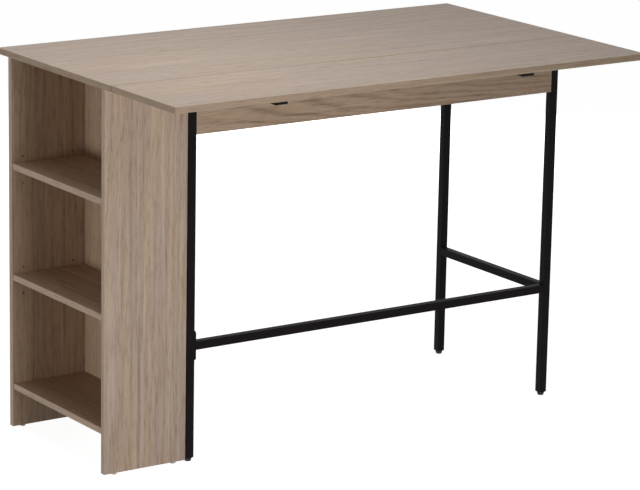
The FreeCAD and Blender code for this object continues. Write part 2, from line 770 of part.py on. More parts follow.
def make_wood_screws():
    """Every wood screw, in a group for each piece that it holds."""
    shank, head = cell.screw_shank_radius, cell.screw_head_radius
    screw = turn_solid("wood_screw_master", [
        (ZERO, -cell.screw_head),
        (head * SCREW_CROWN_SHARE, -cell.screw_head),
        (head, -cell.screw_crown),
        (head, ZERO),
        (shank, ZERO),
        (shank, cell.screw_length - cell.screw_tip),
        (ZERO, cell.screw_length),
    ])
    groups = {
        "hinge_top_screws": (hinge_top_screws, cell.hinge_sheet),
        "hinge_leaf_screws": (hinge_leaf_screws, cell.hinge_sheet),
        "bracket_top_screws": (bracket_top_screws, cell.arm_sheet),
        "bracket_leaf_screws": (bracket_leaf_screws, cell.arm_sheet),
        "end_rail_screws": (rail_screws, cell.tube_wall),
    }
    for label, (spots, sheet_size) in groups.items():
        keep_copies(label, screw, [(x, y, under_top - sheet_size, UPRIGHT) for x, y in spots])
    sides = ((apron_inner, cell.tab_sheet, cell.angle_sheet, FRONT),
             (inner_rear, -cell.tab_sheet, -cell.angle_sheet, BACK))
    tab_places = []
    angle_places = [(x, y, under_top - cell.angle_sheet, UPRIGHT) for x, y in angle_top_screws]
    for face, tab_step, angle_step, way in sides:
        for x in tab_screw_xs:
            tab_places += [(x, face + tab_step, z, turned(way)) for z in tab_screw_zs]
        for x in angle_xs:
            angle_places.append((x, face + angle_step, under_top - angle_screw_reach, turned(way)))
    keep_copies("apron_tab_screws", screw, tab_places)
    keep_copies("apron_angle_screws", screw, angle_places)


def make_apron_tabs():
    """The plates welded to the legs behind the ends of the aprons."""
    tab = new_body("apron_tab_master")
    sketch = sketch_across(tab, "z")
    draw_rectangle(sketch, ZERO, ZERO, cell.tab_length, cell.tab_height)
    pad(tab, sketch, cell.tab_sheet)
    spots = [cell.tab_height * share for share in TAB_SCREW_SHARES]
    middle = cell.tab_length * TAB_SCREW_REACH_SHARE
    drill(tab, "z", ZERO, cell.tab_sheet + cell.overrun, [(middle, z, screw_hole_radius) for z in spots])
    mirrored = turned(BACK, LEFT)
    keep_copies("apron_tabs", tab, [
        (left_leg_right, apron_inner + cell.tab_sheet, tab_bottom, ON_SIDE),
        (left_leg_right, inner_rear, tab_bottom, ON_SIDE),
        (right_leg_left, apron_inner, tab_bottom, mirrored),
        (right_leg_left, inner_rear - cell.tab_sheet, tab_bottom, mirrored),
    ])


def make_apron_angles():
    """The angle brackets between the aprons and the main top."""
    angle = new_body("apron_angle_master")
    sketch = sketch_across(angle, "x")
    leg, thin, wide = cell.angle_leg, cell.angle_sheet, cell.angle_width
    outline = [(ZERO, ZERO), (leg, ZERO), (leg, -thin), (thin, -thin), (thin, -leg), (ZERO, -leg)]
    draw_polygon(sketch, outline)
    pad(angle, sketch, wide)
    middle = wide / 2
    through = thin + cell.overrun * 2
    drill(angle, "z", -thin - cell.overrun, through, [(middle, angle_screw_reach, screw_hole_radius)])
    drill(angle, "y", -cell.overrun, through, [(middle, -angle_screw_reach, screw_hole_radius)])
    places = []
    for x in angle_xs:
        places.append((x - middle, apron_inner, under_top, UPRIGHT))
        places.append((x + middle, inner_rear, under_top, ABOUT_FACE))
    keep_copies("apron_angles", angle, places)


def make_cam_fittings():
    """Cam locks and the bolts that they draw in, at the three joints of each side panel."""
    hollow = cell.cam_bolt_head_radius + cell.cam_head_gap
    lock = new_body("cam_lock_master")
    sketch = sketch_across(lock, "z")
    draw_circle(sketch, ZERO, ZERO, cell.cam_radius)
    pad(lock, sketch, cell.cam_depth)
    sketch = sketch_across(lock, "z", cell.cam_depth)
    draw_rectangle(sketch, -hollow, -hollow, cell.cam_radius + cell.overrun, hollow)
    pocket(lock, sketch, "z", cell.cam_depth - half_board + hollow, False)
    half_slot = cell.cam_slot / 2
    arm = cell.cam_radius / 2
    for u, v in ((arm, half_slot), (half_slot, arm)):
        sketch = sketch_across(lock, "z")
        draw_rectangle(sketch, -u, -v, u, v)
        pocket(lock, sketch, "z", cell.cam_slot, True)

    neck_end = cell.cam_offset - cell.cam_bolt_head / 2
    head_end = cell.cam_offset + cell.cam_bolt_head / 2
    bolt = turn_solid("cam_bolt_master", [
        (ZERO, -cell.cam_bolt_thread),
        (cell.cam_bolt_thread_radius, -cell.cam_bolt_thread),
        (cell.cam_bolt_thread_radius, ZERO),
        (cell.cam_bolt_collar_radius, ZERO),
        (cell.cam_bolt_collar_radius, cell.cam_bolt_collar),
        (cell.cam_bolt_neck_radius, cell.cam_bolt_collar),
        (cell.cam_bolt_neck_radius, neck_end),
        (cell.cam_bolt_head_radius, neck_end),
        (cell.cam_bolt_head_radius, head_end),
        (ZERO, head_end),
    ])
    locks = []
    bolts = []
    back_rear = back_front + cell.board
    sides = ((inner_front, cell.cam_offset, FRONT, BACK), (inner_rear, -cell.cam_offset, BACK, FRONT))
    for (face, inset, outward, inward), middle in zip(sides, panel_middles):
        for x in cam_rows:
            locks.append((x, face + inset, bottom_shelf_under, turned(UP, outward)))
            bolts.append((x, face, shelf_middle_z, turned(inward)))
            locks.append((x, face, under_top - cell.cam_offset, turned(outward, UP)))
            bolts.append((x, middle, under_top, turned(DOWN)))
        for z in back_cam_heights:
            locks.append((back_rear, face + inset, z, turned(LEFT, outward)))
            bolts.append((back_middle, face, z, turned(inward)))
    keep_copies("cam_locks", lock, locks)
    keep_copies("cam_bolts", bolt, bolts)


def make_dowels():
    """Wooden dowels, the short end of each in a face and the long end in an edge."""
    radius, bevel = cell.dowel_radius, cell.dowel_edge
    dowel = turn_solid("dowel_master", [
        (ZERO, -cell.dowel_short),
        (radius - bevel, -cell.dowel_short),
        (radius, bevel - cell.dowel_short),
        (radius, cell.dowel_long - bevel),
        (radius - bevel, cell.dowel_long),
        (ZERO, cell.dowel_long),
    ])
    places = [(back_middle, y, cell.bottom_shelf_top, UPRIGHT) for y in back_dowel_ys]
    sides = ((inner_front, BACK), (inner_rear, FRONT))
    for (face, inward), middle in zip(sides, panel_middles):
        places.append((back_middle, face, back_dowel_height, turned(inward)))
        for x in dowel_rows:
            places.append((x, face, shelf_middle_z, turned(inward)))
            places.append((x, middle, under_top, turned(DOWN)))
    keep_copies("wood_dowels", dowel, places)


def make_shelf_pins():
    """Round pins in the sides, four under each loose shelf."""
    pin = turn_solid("shelf_pin_master", [
        (ZERO, -cell.pin_seat),
        (cell.pin_radius, -cell.pin_seat),
        (cell.pin_radius, cell.pin_reach),
        (ZERO, cell.pin_reach),
    ])
    places = []
    for x in pin_xs:
        for z in pin_zs:
            places.append((x, inner_front, z, turned(BACK)))
            places.append((x, inner_rear, z, turned(FRONT)))
    keep_copies("shelf_pins", pin, places)


def make_glides():
    """Nail-in glides under the cabinet's sides."""
    radius, edge, high = cell.glide_radius, cell.glide_edge, cell.glide_height
    glide = turn_solid("panel_glide_master", [
        (ZERO, ZERO),
        (radius - edge, ZERO),
        (radius, edge),
        (radius, high),
        (cell.nail_radius, high),
        (cell.nail_radius, high + cell.nail_length),
        (ZERO, high + cell.nail_length),
    ])
    places = [(x, y, ZERO, UPRIGHT) for x in glide_xs for y in panel_middles]
    keep_copies("panel_glides", glide, places)


def make_feet():
    """A threaded plug in each leg's lower end, and the levelling foot that screws into it."""
    plug = new_body("leg_plug_master")
    sketch = sketch_across(plug, "z")
    low = cell.tube_wall + cell.tube_fit
    high = cell.tube_size - low
    draw_rectangle(sketch, low, low, high, high)
    draw_circle(sketch, half_tube, half_tube, cell.stud_radius + cell.fit)
    pad(plug, sketch, cell.insert_length)
    corners = {
        "front_left": (panel_right, frame_front),
        "rear_left": (panel_right, rear_leg_front),
        "front_right": (right_leg_left, frame_front),
        "rear_right": (right_leg_left, rear_leg_front),
    }
    keep_copies("leg_plugs", plug, [(x, y, cell.foot_height, UPRIGHT) for x, y in corners.values()])
    base_top = cell.foot_height - cell.foot_gap
    for corner, (x, y) in corners.items():
        label = f"levelling_foot_{corner}"
        foot = turn_solid(label, [
            (ZERO, ZERO),
            (cell.foot_floor_radius - cell.foot_edge, ZERO),
            (cell.foot_floor_radius, cell.foot_edge),
            (cell.foot_top_radius, base_top - cell.foot_edge),
            (cell.foot_top_radius, base_top),
            (cell.stud_radius, base_top),
            (cell.stud_radius, base_top + cell.stud_length),
            (ZERO, base_top + cell.stud_length),
        ])
        place(foot, x + half_tube, y + half_tube, ZERO)
        keep(label, foot)


def make_arm_master(label, width, reach, end_wall, screw_shares):
    """A bracket arm folded from sheet as an upturned channel, its own origin under the pivot."""
    arm = new_body(label)
    high, boss = cell.arm_height, cell.pivot_boss_radius
    pivot = high - cell.pivot_drop
    sketch = sketch_across(arm, "x")
    draw_polygon(sketch, [
        (ZERO, pivot + boss),
        (cell.arm_web_start, high),
        (reach, high),
        (reach, cell.arm_nose),
        (reach - cell.arm_nose, ZERO),
        (cell.arm_heel, ZERO),
        (ZERO, pivot - boss),
    ])
    pad(arm, sketch, width)
    sketch = sketch_across(arm, "x")
    draw_circle(sketch, ZERO, pivot, boss)
    pad(arm, sketch, width)
    near, far = cell.arm_sheet, width - cell.arm_sheet
    start = -boss - cell.overrun
    sketch = sketch_across(arm, "z")
    draw_rectangle(sketch, near, start, far, reach - end_wall)
    pocket(arm, sketch, "z", high - cell.arm_sheet, True)
    sketch = sketch_across(arm, "z")
    draw_rectangle(sketch, near, start, far, cell.arm_web_start)
    pocket(arm, sketch, "z", high + cell.overrun, True)
    drill(arm, "x", ZERO, width + cell.overrun, [(ZERO, pivot, cell.pivot_radius + cell.fit)])
    holes = [(width / 2, reach * share, screw_hole_radius) for share in screw_shares]
    drill(arm, "z", ZERO, high + cell.overrun, holes)
    return arm


def make_brackets():
    """The folding brackets: an arm under the main top, an arm under the leaf and the pin between them."""
    level = under_top - cell.arm_height
    thin, wide, narrow = cell.arm_sheet, cell.arm_width, fixed_arm_width
    fixed = make_arm_master("fixed_arm_master", narrow, cell.fixed_reach, ZERO, FIXED_SCREW_SHARES)
    swing = make_arm_master("swing_arm_master", wide, cell.swing_reach, thin, SWING_SCREW_SHARES)
    fixed_places = [(x - narrow / 2, axis_y, level, UPRIGHT) for x in bracket_xs]
    swing_places = [(x + wide / 2, axis_y, level, ABOUT_FACE) for x in bracket_xs]
    keep_copies("bracket_fixed_arms", fixed, fixed_places)
    keep_copies("bracket_swing_arms", swing, swing_places)
    grip = wide + cell.pivot_play * 2
    grip_end = cell.pivot_head + grip
    pin = turn_solid("bracket_pivot_master", [
        (ZERO, ZERO),
        (cell.pivot_head_radius, ZERO),
        (cell.pivot_head_radius, cell.pivot_head),
        (cell.pivot_radius, cell.pivot_head),
        (cell.pivot_radius, grip_end),
        (cell.pivot_head_radius, grip_end),
        (cell.pivot_head_radius, grip_end + cell.pivot_head),
        (ZERO, grip_end + cell.pivot_head),
    ])
    start = grip / 2 + cell.pivot_head
    pin_places = [(x - start, axis_y, axis_z, turned(RIGHT)) for x in bracket_xs]
    keep_copies("bracket_pivot_pins", pin, pin_places)


def make_hinge_plate(label, segments):
    """One half of a butt hinge: a plate, the knuckles rolled from it, the pin's bore and the screw holes."""
    solids = []

    def add_box(x, y, z, length, width, height):
        box = doc.addObject("Part::Box", f"{label}_plate")
        for field, size in (("Length", length), ("Width", width), ("Height", height)):
            box.setExpression(field, size.text)
        place(box, x, y, z)
        solids.append(box)

    def add_rod(kept, x, y, z, radius, length, turn):
        rod = doc.addObject("Part::Cylinder", f"{label}_rod")
        rod.setExpression("Radius", radius.text)
        rod.setExpression("Height", length.text)
        place(rod, x, y, z, turn)
        kept.append(rod)

    level = cell.pivot_drop - cell.hinge_sheet
    along_x = turned(RIGHT)
    plate_width = cell.hinge_width - cell.hinge_inset
    add_box(ZERO, cell.hinge_inset, level, cell.hinge_length, plate_width, cell.hinge_sheet)
    for start, length in segments:
        add_box(start, ZERO, level, length, cell.hinge_inset, cell.hinge_sheet)
        add_rod(solids, start, ZERO, ZERO, cell.knuckle_radius, length, along_x)
    joined = doc.addObject("Part::MultiFuse", f"{label}_joined")
    joined.Shapes = solids
    joined.Refine = True
    cuts = []
    bore = cell.hinge_pin_radius + cell.fit
    add_rod(cuts, -cell.overrun, ZERO, ZERO, bore, cell.hinge_length + cell.overrun * 2, along_x)
    for share in HINGE_SCREW_SHARES:
        add_rod(cuts, cell.hinge_length * share, cell.hinge_screw_reach, ZERO, screw_hole_radius,
                cell.pivot_drop + cell.overrun, UPRIGHT)
    tools = doc.addObject("Part::MultiFuse", f"{label}_bores")
    tools.Shapes = cuts
    plate = doc.addObject("Part::Cut", label)
    plate.Base = joined
    plate.Tool = tools
    return plate


def make_hinges():
    """Three butt hinges under the seam: two outer knuckles on the top's half, one on the leaf's half."""
    ends = [cell.hinge_length * share for share in KNUCKLE_END_SHARES]
    half_gap = cell.knuckle_gap / 2
    outer = ends[1] - half_gap
    outer_start = ends[2] + half_gap
    top_segments = [(ends[0], outer), (outer_start, ends[3] - outer_start)]
    middle_start = ends[1] + half_gap
    leaf_segments = [(middle_start, ends[2] - half_gap - middle_start)]
    top_half = make_hinge_plate("hinge_top_master", top_segments)
    leaf_half = make_hinge_plate("hinge_leaf_master", leaf_segments)
    half = cell.hinge_length / 2
    keep_copies("hinge_top_plates", top_half, [(x - half, axis_y, axis_z, UPRIGHT) for x in hinge_xs])
    keep_copies("hinge_leaf_plates", leaf_half, [(x + half, axis_y, axis_z, ABOUT_FACE) for x in hinge_xs])
    head, pin_end = cell.hinge_pin_head, cell.hinge_pin_head + cell.hinge_length
    pin = turn_solid("hinge_pin_master", [
        (ZERO, ZERO),
        (cell.hinge_pin_head_radius, ZERO),
        (cell.hinge_pin_head_radius, head),
        (cell.hinge_pin_radius, head),
        (cell.hinge_pin_radius, pin_end),
        (cell.hinge_pin_head_radius, pin_end),
        (cell.hinge_pin_head_radius, pin_end + head),
        (ZERO, pin_end + head),
    ])
    start = half + head
    keep_copies("hinge_pins", pin, [(x - start, axis_y, axis_z, turned(RIGHT)) for x in hinge_xs])


def check_model():
    """Stop if any object failed, any cut missed its solid, or any sub-part has no sound shape."""
    for item in doc.Objects:
        if "Invalid" in item.State or "Error" in item.State:
            raise RuntimeError(f"{item.Label} failed: {item.State}")
        if item.TypeId == "PartDesign::Pocket":
            removed = item.BaseFeature.Shape.Volume - item.Shape.Volume
            if removed <= 0:
                raise RuntimeError(f"{item.Label} cuts nothing")
    for label, piece in subparts.items():
        if piece.Shape.isNull() or not piece.Shape.isValid():
            raise RuntimeError(f"{label} has no sound shape")


def main():
    """Make every sub-part, check the model and write one file for each."""
    make_main_top()
    make_drop_leaf()
    make_side_panel("side_panel_front", inner_front, ZERO, True)
    make_side_panel("side_panel_rear", frame_rear, cell.board, False)
    make_back_panel()
    make_bottom_shelf()
    make_loose_shelf("middle_shelf", middle_shelf_under)
    make_loose_shelf("upper_shelf", upper_shelf_under)
    make_apron("front_apron", apron_inner, ZERO, True, True)
    make_apron("rear_apron", frame_rear, cell.board, False, False)
    make_legs()
    make_cross_tubes()
    make_flange_plate()
    make_stretcher_fasteners()
    make_panel_fasteners()
    make_apron_tabs()
    make_apron_angles()
    make_wood_screws()
    make_cam_fittings()
    make_dowels()
    make_shelf_pins()
    make_glides()
    make_feet()
    make_brackets()
    make_hinges()
    doc.recompute()
    check_model()
    os.makedirs("parts", exist_ok=True)
    for label, piece in subparts.items():
        piece.Shape.exportStep(f"parts/{label}.step")
        box = piece.Shape.BoundBox
        print(f"{label}: {len(piece.Shape.Solids)} solids, {box.XMin:.1f} {box.YMin:.1f} {box.ZMin:.1f}"
              f" to {box.XMax:.1f} {box.YMax:.1f} {box.ZMax:.1f}")


main()
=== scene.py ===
"""Looks of a counter-height kitchen table with a drop leaf and an open storage cabinet.

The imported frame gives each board, tube and fitting its shape and place. This file gives them their finishes,
makes the small hardware in finer detail and sets up the studio.
"""

import math
from collections import namedtuple

import bmesh
import bpy
from bpy.props import FloatProperty, FloatVectorProperty, IntProperty, PointerProperty
from mathutils import Matrix, Vector


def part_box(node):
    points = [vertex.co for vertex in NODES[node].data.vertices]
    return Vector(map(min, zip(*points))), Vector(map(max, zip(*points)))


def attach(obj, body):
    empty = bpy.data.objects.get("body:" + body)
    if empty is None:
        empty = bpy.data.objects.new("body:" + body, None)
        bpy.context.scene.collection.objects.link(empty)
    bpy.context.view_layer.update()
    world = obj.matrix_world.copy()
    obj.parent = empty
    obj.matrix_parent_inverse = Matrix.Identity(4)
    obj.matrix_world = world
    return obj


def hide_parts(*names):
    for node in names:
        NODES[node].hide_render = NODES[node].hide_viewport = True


bl_info = {
    "name": "Kitchen Table with Storage Cabinet",
    "version": (1, 0, 0),
    "blender": (4, 5, 0),
    "location": "3D View > Sidebar > Kitchen Table",
    "description": "Finishes and fine hardware of a drop-leaf kitchen table with an open cabinet",
    "category": "Object",
}

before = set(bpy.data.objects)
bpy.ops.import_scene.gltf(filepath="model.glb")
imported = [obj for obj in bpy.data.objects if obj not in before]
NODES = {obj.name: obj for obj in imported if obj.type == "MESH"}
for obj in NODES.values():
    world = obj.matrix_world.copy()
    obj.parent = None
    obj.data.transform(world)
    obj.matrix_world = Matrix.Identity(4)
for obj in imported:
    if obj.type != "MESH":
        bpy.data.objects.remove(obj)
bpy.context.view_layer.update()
MM = 0.001
AXES = "xyz"
WHITE = (1.0, 1.0, 1.0, 1.0)
WELD_DISTANCE = 1e-6
SHARP_EDGE = math.radians(38)

# Each kind of board: its nodes, the axes of its grain and its face, the heart of its figure along and
# across the grain in metres, how steeply the figure runs out, its rings in a metre and their strength, the
# strength of all its dark grain, the offset of its pattern, its share of tan, and the tones of its faces,
# which paint light and shade onto the cabinet's boards and the aprons, and of its edge bands
BoardLook = namedtuple("BoardLook", "nodes grain face heart slope rings figure dark shift warmth tone band")
# Tones that multiply a board's colour; all after the first two are painted light or shade on one oak print.
PLAIN = (1.0, 1.0, 1.0)
OLIVE = (0.83, 0.80, 0.70)
APRON_PAINTED_SHADE = (0.84, 0.82, 0.79)
BACK_PANEL_PAINTED_LIGHT = (1.10, 1.03, 0.97)
REAR_PANEL_PAINTED_LIGHT = (1.03, 0.98, 0.94)
BOTTOM_SHELF_PAINTED_SHADE = (0.80, 0.71, 0.67)
MIDDLE_SHELF_PAINTED_SHADE = (0.91, 0.86, 0.83)
UPPER_SHELF_PAINTED_SHADE = (0.95, 0.90, 0.87)
BOARD_LOOKS = (
    BoardLook(
        ("main_top", "drop_leaf"), "x", "z", (-0.9, 0.35), 0.05, 62, 0.3, 0.8, 11.3, -0.1, PLAIN, OLIVE),
    BoardLook(("side_panel_front",), "z", "y", (0.72, -0.62), 0.07, 62, 0.2, 1.0, 23.7, 0.0, PLAIN, PLAIN),
    # Back and rear panels: their face tones are painted light falling in from the left.
    BoardLook(("side_panel_rear",), "z", "y", (0.40, -0.53), 0.09, 62, 0.2, 1.0, 37.1, 0.25, REAR_PANEL_PAINTED_LIGHT, PLAIN),
    BoardLook(("cabinet_back_panel",), "z", "x", (0.55, 0.10), 0.06, 62, 0.2, 1.0, 41.9, 0.35, BACK_PANEL_PAINTED_LIGHT, PLAIN),
    # Shelves: their face tones are painted shade inside the cabinet, deepest on the bottom shelf.
    BoardLook(("bottom_shelf",), "y", "z", (0.30, -0.50), 0.10, 62, 0.2, 0.9, 53.3, 0.35, BOTTOM_SHELF_PAINTED_SHADE, PLAIN),
    BoardLook(("middle_shelf",), "y", "z", (-0.20, -0.58), 0.10, 62, 0.2, 0.9, 59.7, 0.35, MIDDLE_SHELF_PAINTED_SHADE, PLAIN),
    BoardLook(("upper_shelf",), "y", "z", (0.10, -0.55), 0.10, 62, 0.2, 0.9, 67.1, 0.35, UPPER_SHELF_PAINTED_SHADE, PLAIN),
    # Aprons: their face tone is painted shade under the leaf.
    BoardLook(("front_apron",), "x", "y", (0.62, 0.825), 0.07, 95, 0.52, 1.0, 71.9, 0.25, APRON_PAINTED_SHADE, PLAIN),
    BoardLook(("rear_apron",), "x", "y", (0.25, 0.86), 0.07, 95, 0.52, 1.0, 83.3, 0.25, APRON_PAINTED_SHADE, PLAIN),
)
COATED_STEEL = (
    "front_left_leg", "rear_left_leg", "front_right_leg", "rear_right_leg", "left_end_rail", "right_end_rail",
    "left_short_stretcher", "right_short_stretcher", "long_stretcher", "stretcher_flange_plate", "apron_tabs",
    "bracket_fixed_arms", "bracket_swing_arms",
)
ZINC_PLATED = (
    "hinge_top_plates", "hinge_leaf_plates", "hinge_pins", "bracket_pivot_pins", "apron_angles", "cam_locks",
    "cam_bolts", "rivet_nuts", "stretcher_end_nut", "panel_inserts", "shelf_pins",
)
SCREW_GROUPS = (
    ("wood_screws_table", "table", (
        "hinge_top_screws", "bracket_top_screws", "end_rail_screws", "apron_tab_screws",
        "apron_angle_screws")),
    ("wood_screws_leaf", "leaf", ("hinge_leaf_screws", "bracket_leaf_screws")),
)
BOLT_GROUPS = ("panel_bolts", "flange_bolts", "stretcher_end_bolt")
FEET = ("front_left", "rear_left", "front_right", "rear_right")

# Each layer of noise in a finish: its scale along the axes, the offset of its pattern, its detail and the
# grit of that detail, the levels between which it shows, its share in the colour, how far it swings a
# roughness, a place or a phase, and its share in the relief
Layer = namedtuple(
    "Layer", "stretch shift detail grit low high share swing rise",
    defaults=(2.0, 0.5, 0.0, 1.0, 0.0, 0.0, 0.0))
SHIFT_SHARES = (1.0, 0.7, 1.3)
NOISE_MIDDLE = 0.5

# Oak print, with the layers' scales along, across and through the grain
DRIFT = Layer((0.7, 4.0, 4.0), 0.0, 1.0, swing=16 * MM)
SWAY = Layer((7.0, 18.0, 18.0), 7.0, 1.0, swing=2 * MM)
GROUND = Layer((1.8, 38.0, 38.0), 1.0, low=0.38, high=0.64)
STREAK = Layer((1.3, 90.0, 90.0), 2.0, 3.0, 0.6, 0.48, 0.78, rise=0.5)
PALE = Layer((2.2, 95.0, 95.0), 3.0, 3.0, 0.6, 0.50, 0.78, share=0.60)
FIBRE = Layer((24.0, 310.0, 310.0), 4.0, 3.0, 0.65, 0.46, 0.74, share=0.56, swing=0.22, rise=0.8)
PORE = Layer((55.0, 1500.0, 1500.0), 5.0, 1.0, 0.5, 0.60, 0.72, share=0.25, swing=0.12)
WOBBLE = Layer((3.0, 16.0, 16.0), 6.0, low=0.30, high=0.60, swing=2.6)
# Sharpness of its rings, how far a face leans to an axis to be an edge band, the offset of the bands'
# pattern, the leans between which an arris turns pale, partly a trimmed edge and partly a painted highlight,
# and how far it does, and the surface's roughness and shine
RING_POWER = 3.0
BAND_LEAN = 0.6
BAND_SHIFT = 3.7
ARRIS_LEANS = (0.04, 0.22)
ARRIS_TRIM_AND_HIGHLIGHT_SHARE = 0.3
OAK_ROUGHNESS = 0.50
OAK_SHINE = 0.34

# Powder coat
CLOUD = Layer((9.0, 9.0, 9.0), 3.1, low=0.35, high=0.7, share=0.6, swing=0.16)
PEEL = Layer((950.0, 950.0, 950.0), 5.3, swing=0.12)
GRAINS = Layer((2600.0, 2600.0, 2600.0), 8.9, 1.0, low=0.60, high=0.75, share=0.4, rise=0.4)
COAT_ROUGHNESS = 0.52
COAT_RELIEF = 0.06 * MM
COAT_SHINE = 0.06

# Plated metal
STAIN = Layer((46.0, 46.0, 46.0), 4.7, 3.0, 0.6, 0.40, 0.70, share=0.8, swing=0.22)
ROLLING = Layer((240.0, 2100.0, 2100.0), 7.9, swing=0.14)
PLATE_ROUGHNESS = 0.34
PLATE_RELIEF = 0.02 * MM
BOLT_ROUGHNESS = 0.4

# Plastic
FLOW = Layer((30.0, 30.0, 30.0), 2.9, low=0.3, high=0.7)
SPARK = Layer((1900.0, 1900.0, 1900.0), 6.1, swing=0.25)
FLOW_DARK_SHARE = 0.78
PLASTIC_ROUGHNESS = 0.46
PLASTIC_RELIEF = 0.03 * MM
PLASTIC_SHINE = 0.3
GLIDE_ROUGHNESS = 0.4

# Beech
FLECK = Layer((160.0, 900.0, 900.0), 9.7, low=0.5, high=0.75, share=0.7, swing=0.2)
FLECK_DARK_SHARE = 0.6
BEECH_ROUGHNESS = 0.6
BEECH_RELIEF = 0.05 * MM
BEECH_SHINE = 0.25

# Headed fasteners: the sizes of the head, the shank and the tip, how far the head narrows to its top, its
# recess, and the share of the shank's width that is left at the tip
Fastener = namedtuple("Fastener", "head height shank tip dome recess point")
SCREW_DOME_SHARE = 0.42
SCREW_POINT_SHARE = 0.06
BOLT_DOME_SHARE = 0.34
BOLT_POINT_SHARE = 0.75
HEAD_SIDES = 36
HEAD_RINGS = 8
HEAD_FILLS = 2
DOME_POWER = 3.0
SHANK_SIDES = 20
SHANK_RINGS = 26
CROSS_LENGTH_SHARE = 1.15
CROSS_WIDTH_SHARE = 0.26
CROSS_DEPTH_SHARE = 1.1
SOCKET_SIDES = 6
SOCKET_WIDTH_SHARE = 0.44
SOCKET_DEPTH_SHARE = 1.2

# Weld beads: the rails between the legs with the edges that have beads, 0 at the bottom and 1 at the top, and
# the shares of a bead's radius and of its ripples
WELDED_RAILS = (
    ("left_short_stretcher", (0, 1)), ("right_short_stretcher", (0, 1)), ("left_end_rail", (0,)),
    ("right_end_rail", (0,)),
)
SPATTER = Layer((420.0, 420.0, 420.0), 1.7, 1.0, share=0.2)
BEAD_INSET = 1.5 * MM
BEAD_SIDES = 12
BEAD_STEP_SHARE = 0.2
BEAD_BODY_SHARE = 0.72
BEAD_RIPPLE_SHARE = 0.2
BEAD_END_SHARE = 0.35
BEAD_END_POWER = 14.0
BEAD_EDGE = math.radians(60)

# Levelling feet: the base's profile as shares of its widest radius, heights in millimetres and shares of the
# grips' depth, then the stud
FOOT_PROFILE = (
    (0.0, 0.0, 0.0), (0.62, 0.0, 0.0), (0.71, 0.15, 0.0), (0.765, 0.5, 0.0), (0.79, 1.1, 0.2),
    (0.835, 2.4, 1.0), (0.89, 4.2, 1.0), (0.945, 6.0, 1.0), (0.985, 7.1, 0.4), (1.0, 7.7, 0.0),
    (0.985, 8.25, 0.0), (0.93, 8.6, 0.0), (0.84, 8.7, 0.0),
)
STUD_RADIUS = 3.95 * MM
FOOT_SIDES = 84
THREAD_STEPS = 6

# Stage, with each light's name, place, target, size and the setting of its strength
LIGHTS = (
    ("overhead_light", (-0.50, -0.15, 2.10), (-0.3, 0.0, 0.9), (0.9, 0.9), "overhead"),
    ("front_light", (-0.55, -1.80, 0.45), (-0.4, 0.0, 0.5), (0.7, 0.7), "front"),
    ("left_light", (-4.40, -0.30, 0.30), (-0.5, 0.1, 0.4), (3.0, 0.5), "left"),
    ("rear_light", (2.40, 3.00, 0.70), (0.0, 0.2, 0.5), (1.6, 1.0), "rear"),
)
FLOOR_HALF = 30.0
FLOOR_GLOW = 0.93
FLOOR_FAINT = (0.4, 0.4, 0.4, 1.0)
SENSOR_WIDTH = 36.0
VIEW_END = 100.0


def linear(*levels):
    """Scene-linear colour of sRGB screen levels from 0 to 255."""
    shares = [level / 255 for level in levels]
    return tuple(s / 12.92 if s <= 0.04045 else ((s + 0.055) / 1.055) ** 2.4 for s in shares)


def colour_of(prop):
    """A colour property as the four numbers of a colour socket."""
    return (*prop, 1.0)


class OakSettings(bpy.types.PropertyGroup):
    """Colours and strengths of the oak print on the boards."""

    grey: FloatVectorProperty(
        name="Grey Oak", description="Cool half of the print's ground", subtype="COLOR",
        default=linear(176, 157, 143), min=0, max=1)
    tan: FloatVectorProperty(
        name="Tan Oak", description="Warm half of the print's ground", subtype="COLOR",
        default=linear(185, 163, 141), min=0, max=1)
    dark: FloatVectorProperty(
        name="Dark Grain", description="Late wood, streaks and pores", subtype="COLOR",
        default=linear(129, 105, 84), min=0, max=1)
    # The pale colour also paints the highlight on the arrises.
    pale: FloatVectorProperty(
        name="Pale Streaks", description="Light streaks and trimmed edges", subtype="COLOR",
        default=linear(205, 188, 170), min=0, max=1)
    streaks: FloatProperty(
        name="Streaks", description="Strength of the dark streaks", subtype="FACTOR", default=0.46,
        min=0, max=1)
    relief: FloatProperty(
        name="Relief", description="Depth of the pressed grain", unit="LENGTH", default=0.08 * MM, min=0)


class SteelSettings(bpy.types.PropertyGroup):
    """Powder coat of the frame and its weld beads."""

    coat: FloatVectorProperty(
        name="Coat", description="Powder coat of the steel frame", subtype="COLOR",
        default=linear(22, 18, 20), min=0, max=1)
    sheen: FloatVectorProperty(
        name="Coat Bloom", description="Paler bloom in the powder coat", subtype="COLOR",
        default=linear(30, 25, 28), min=0, max=1)
    bead: FloatProperty(
        name="Bead Radius", description="Radius of a weld bead", unit="LENGTH", default=1.7 * MM, min=0)
    ripple: FloatProperty(
        name="Ripple Pitch", description="Spacing of a bead's ripples", unit="LENGTH",
        default=1.6 * MM, min=0)


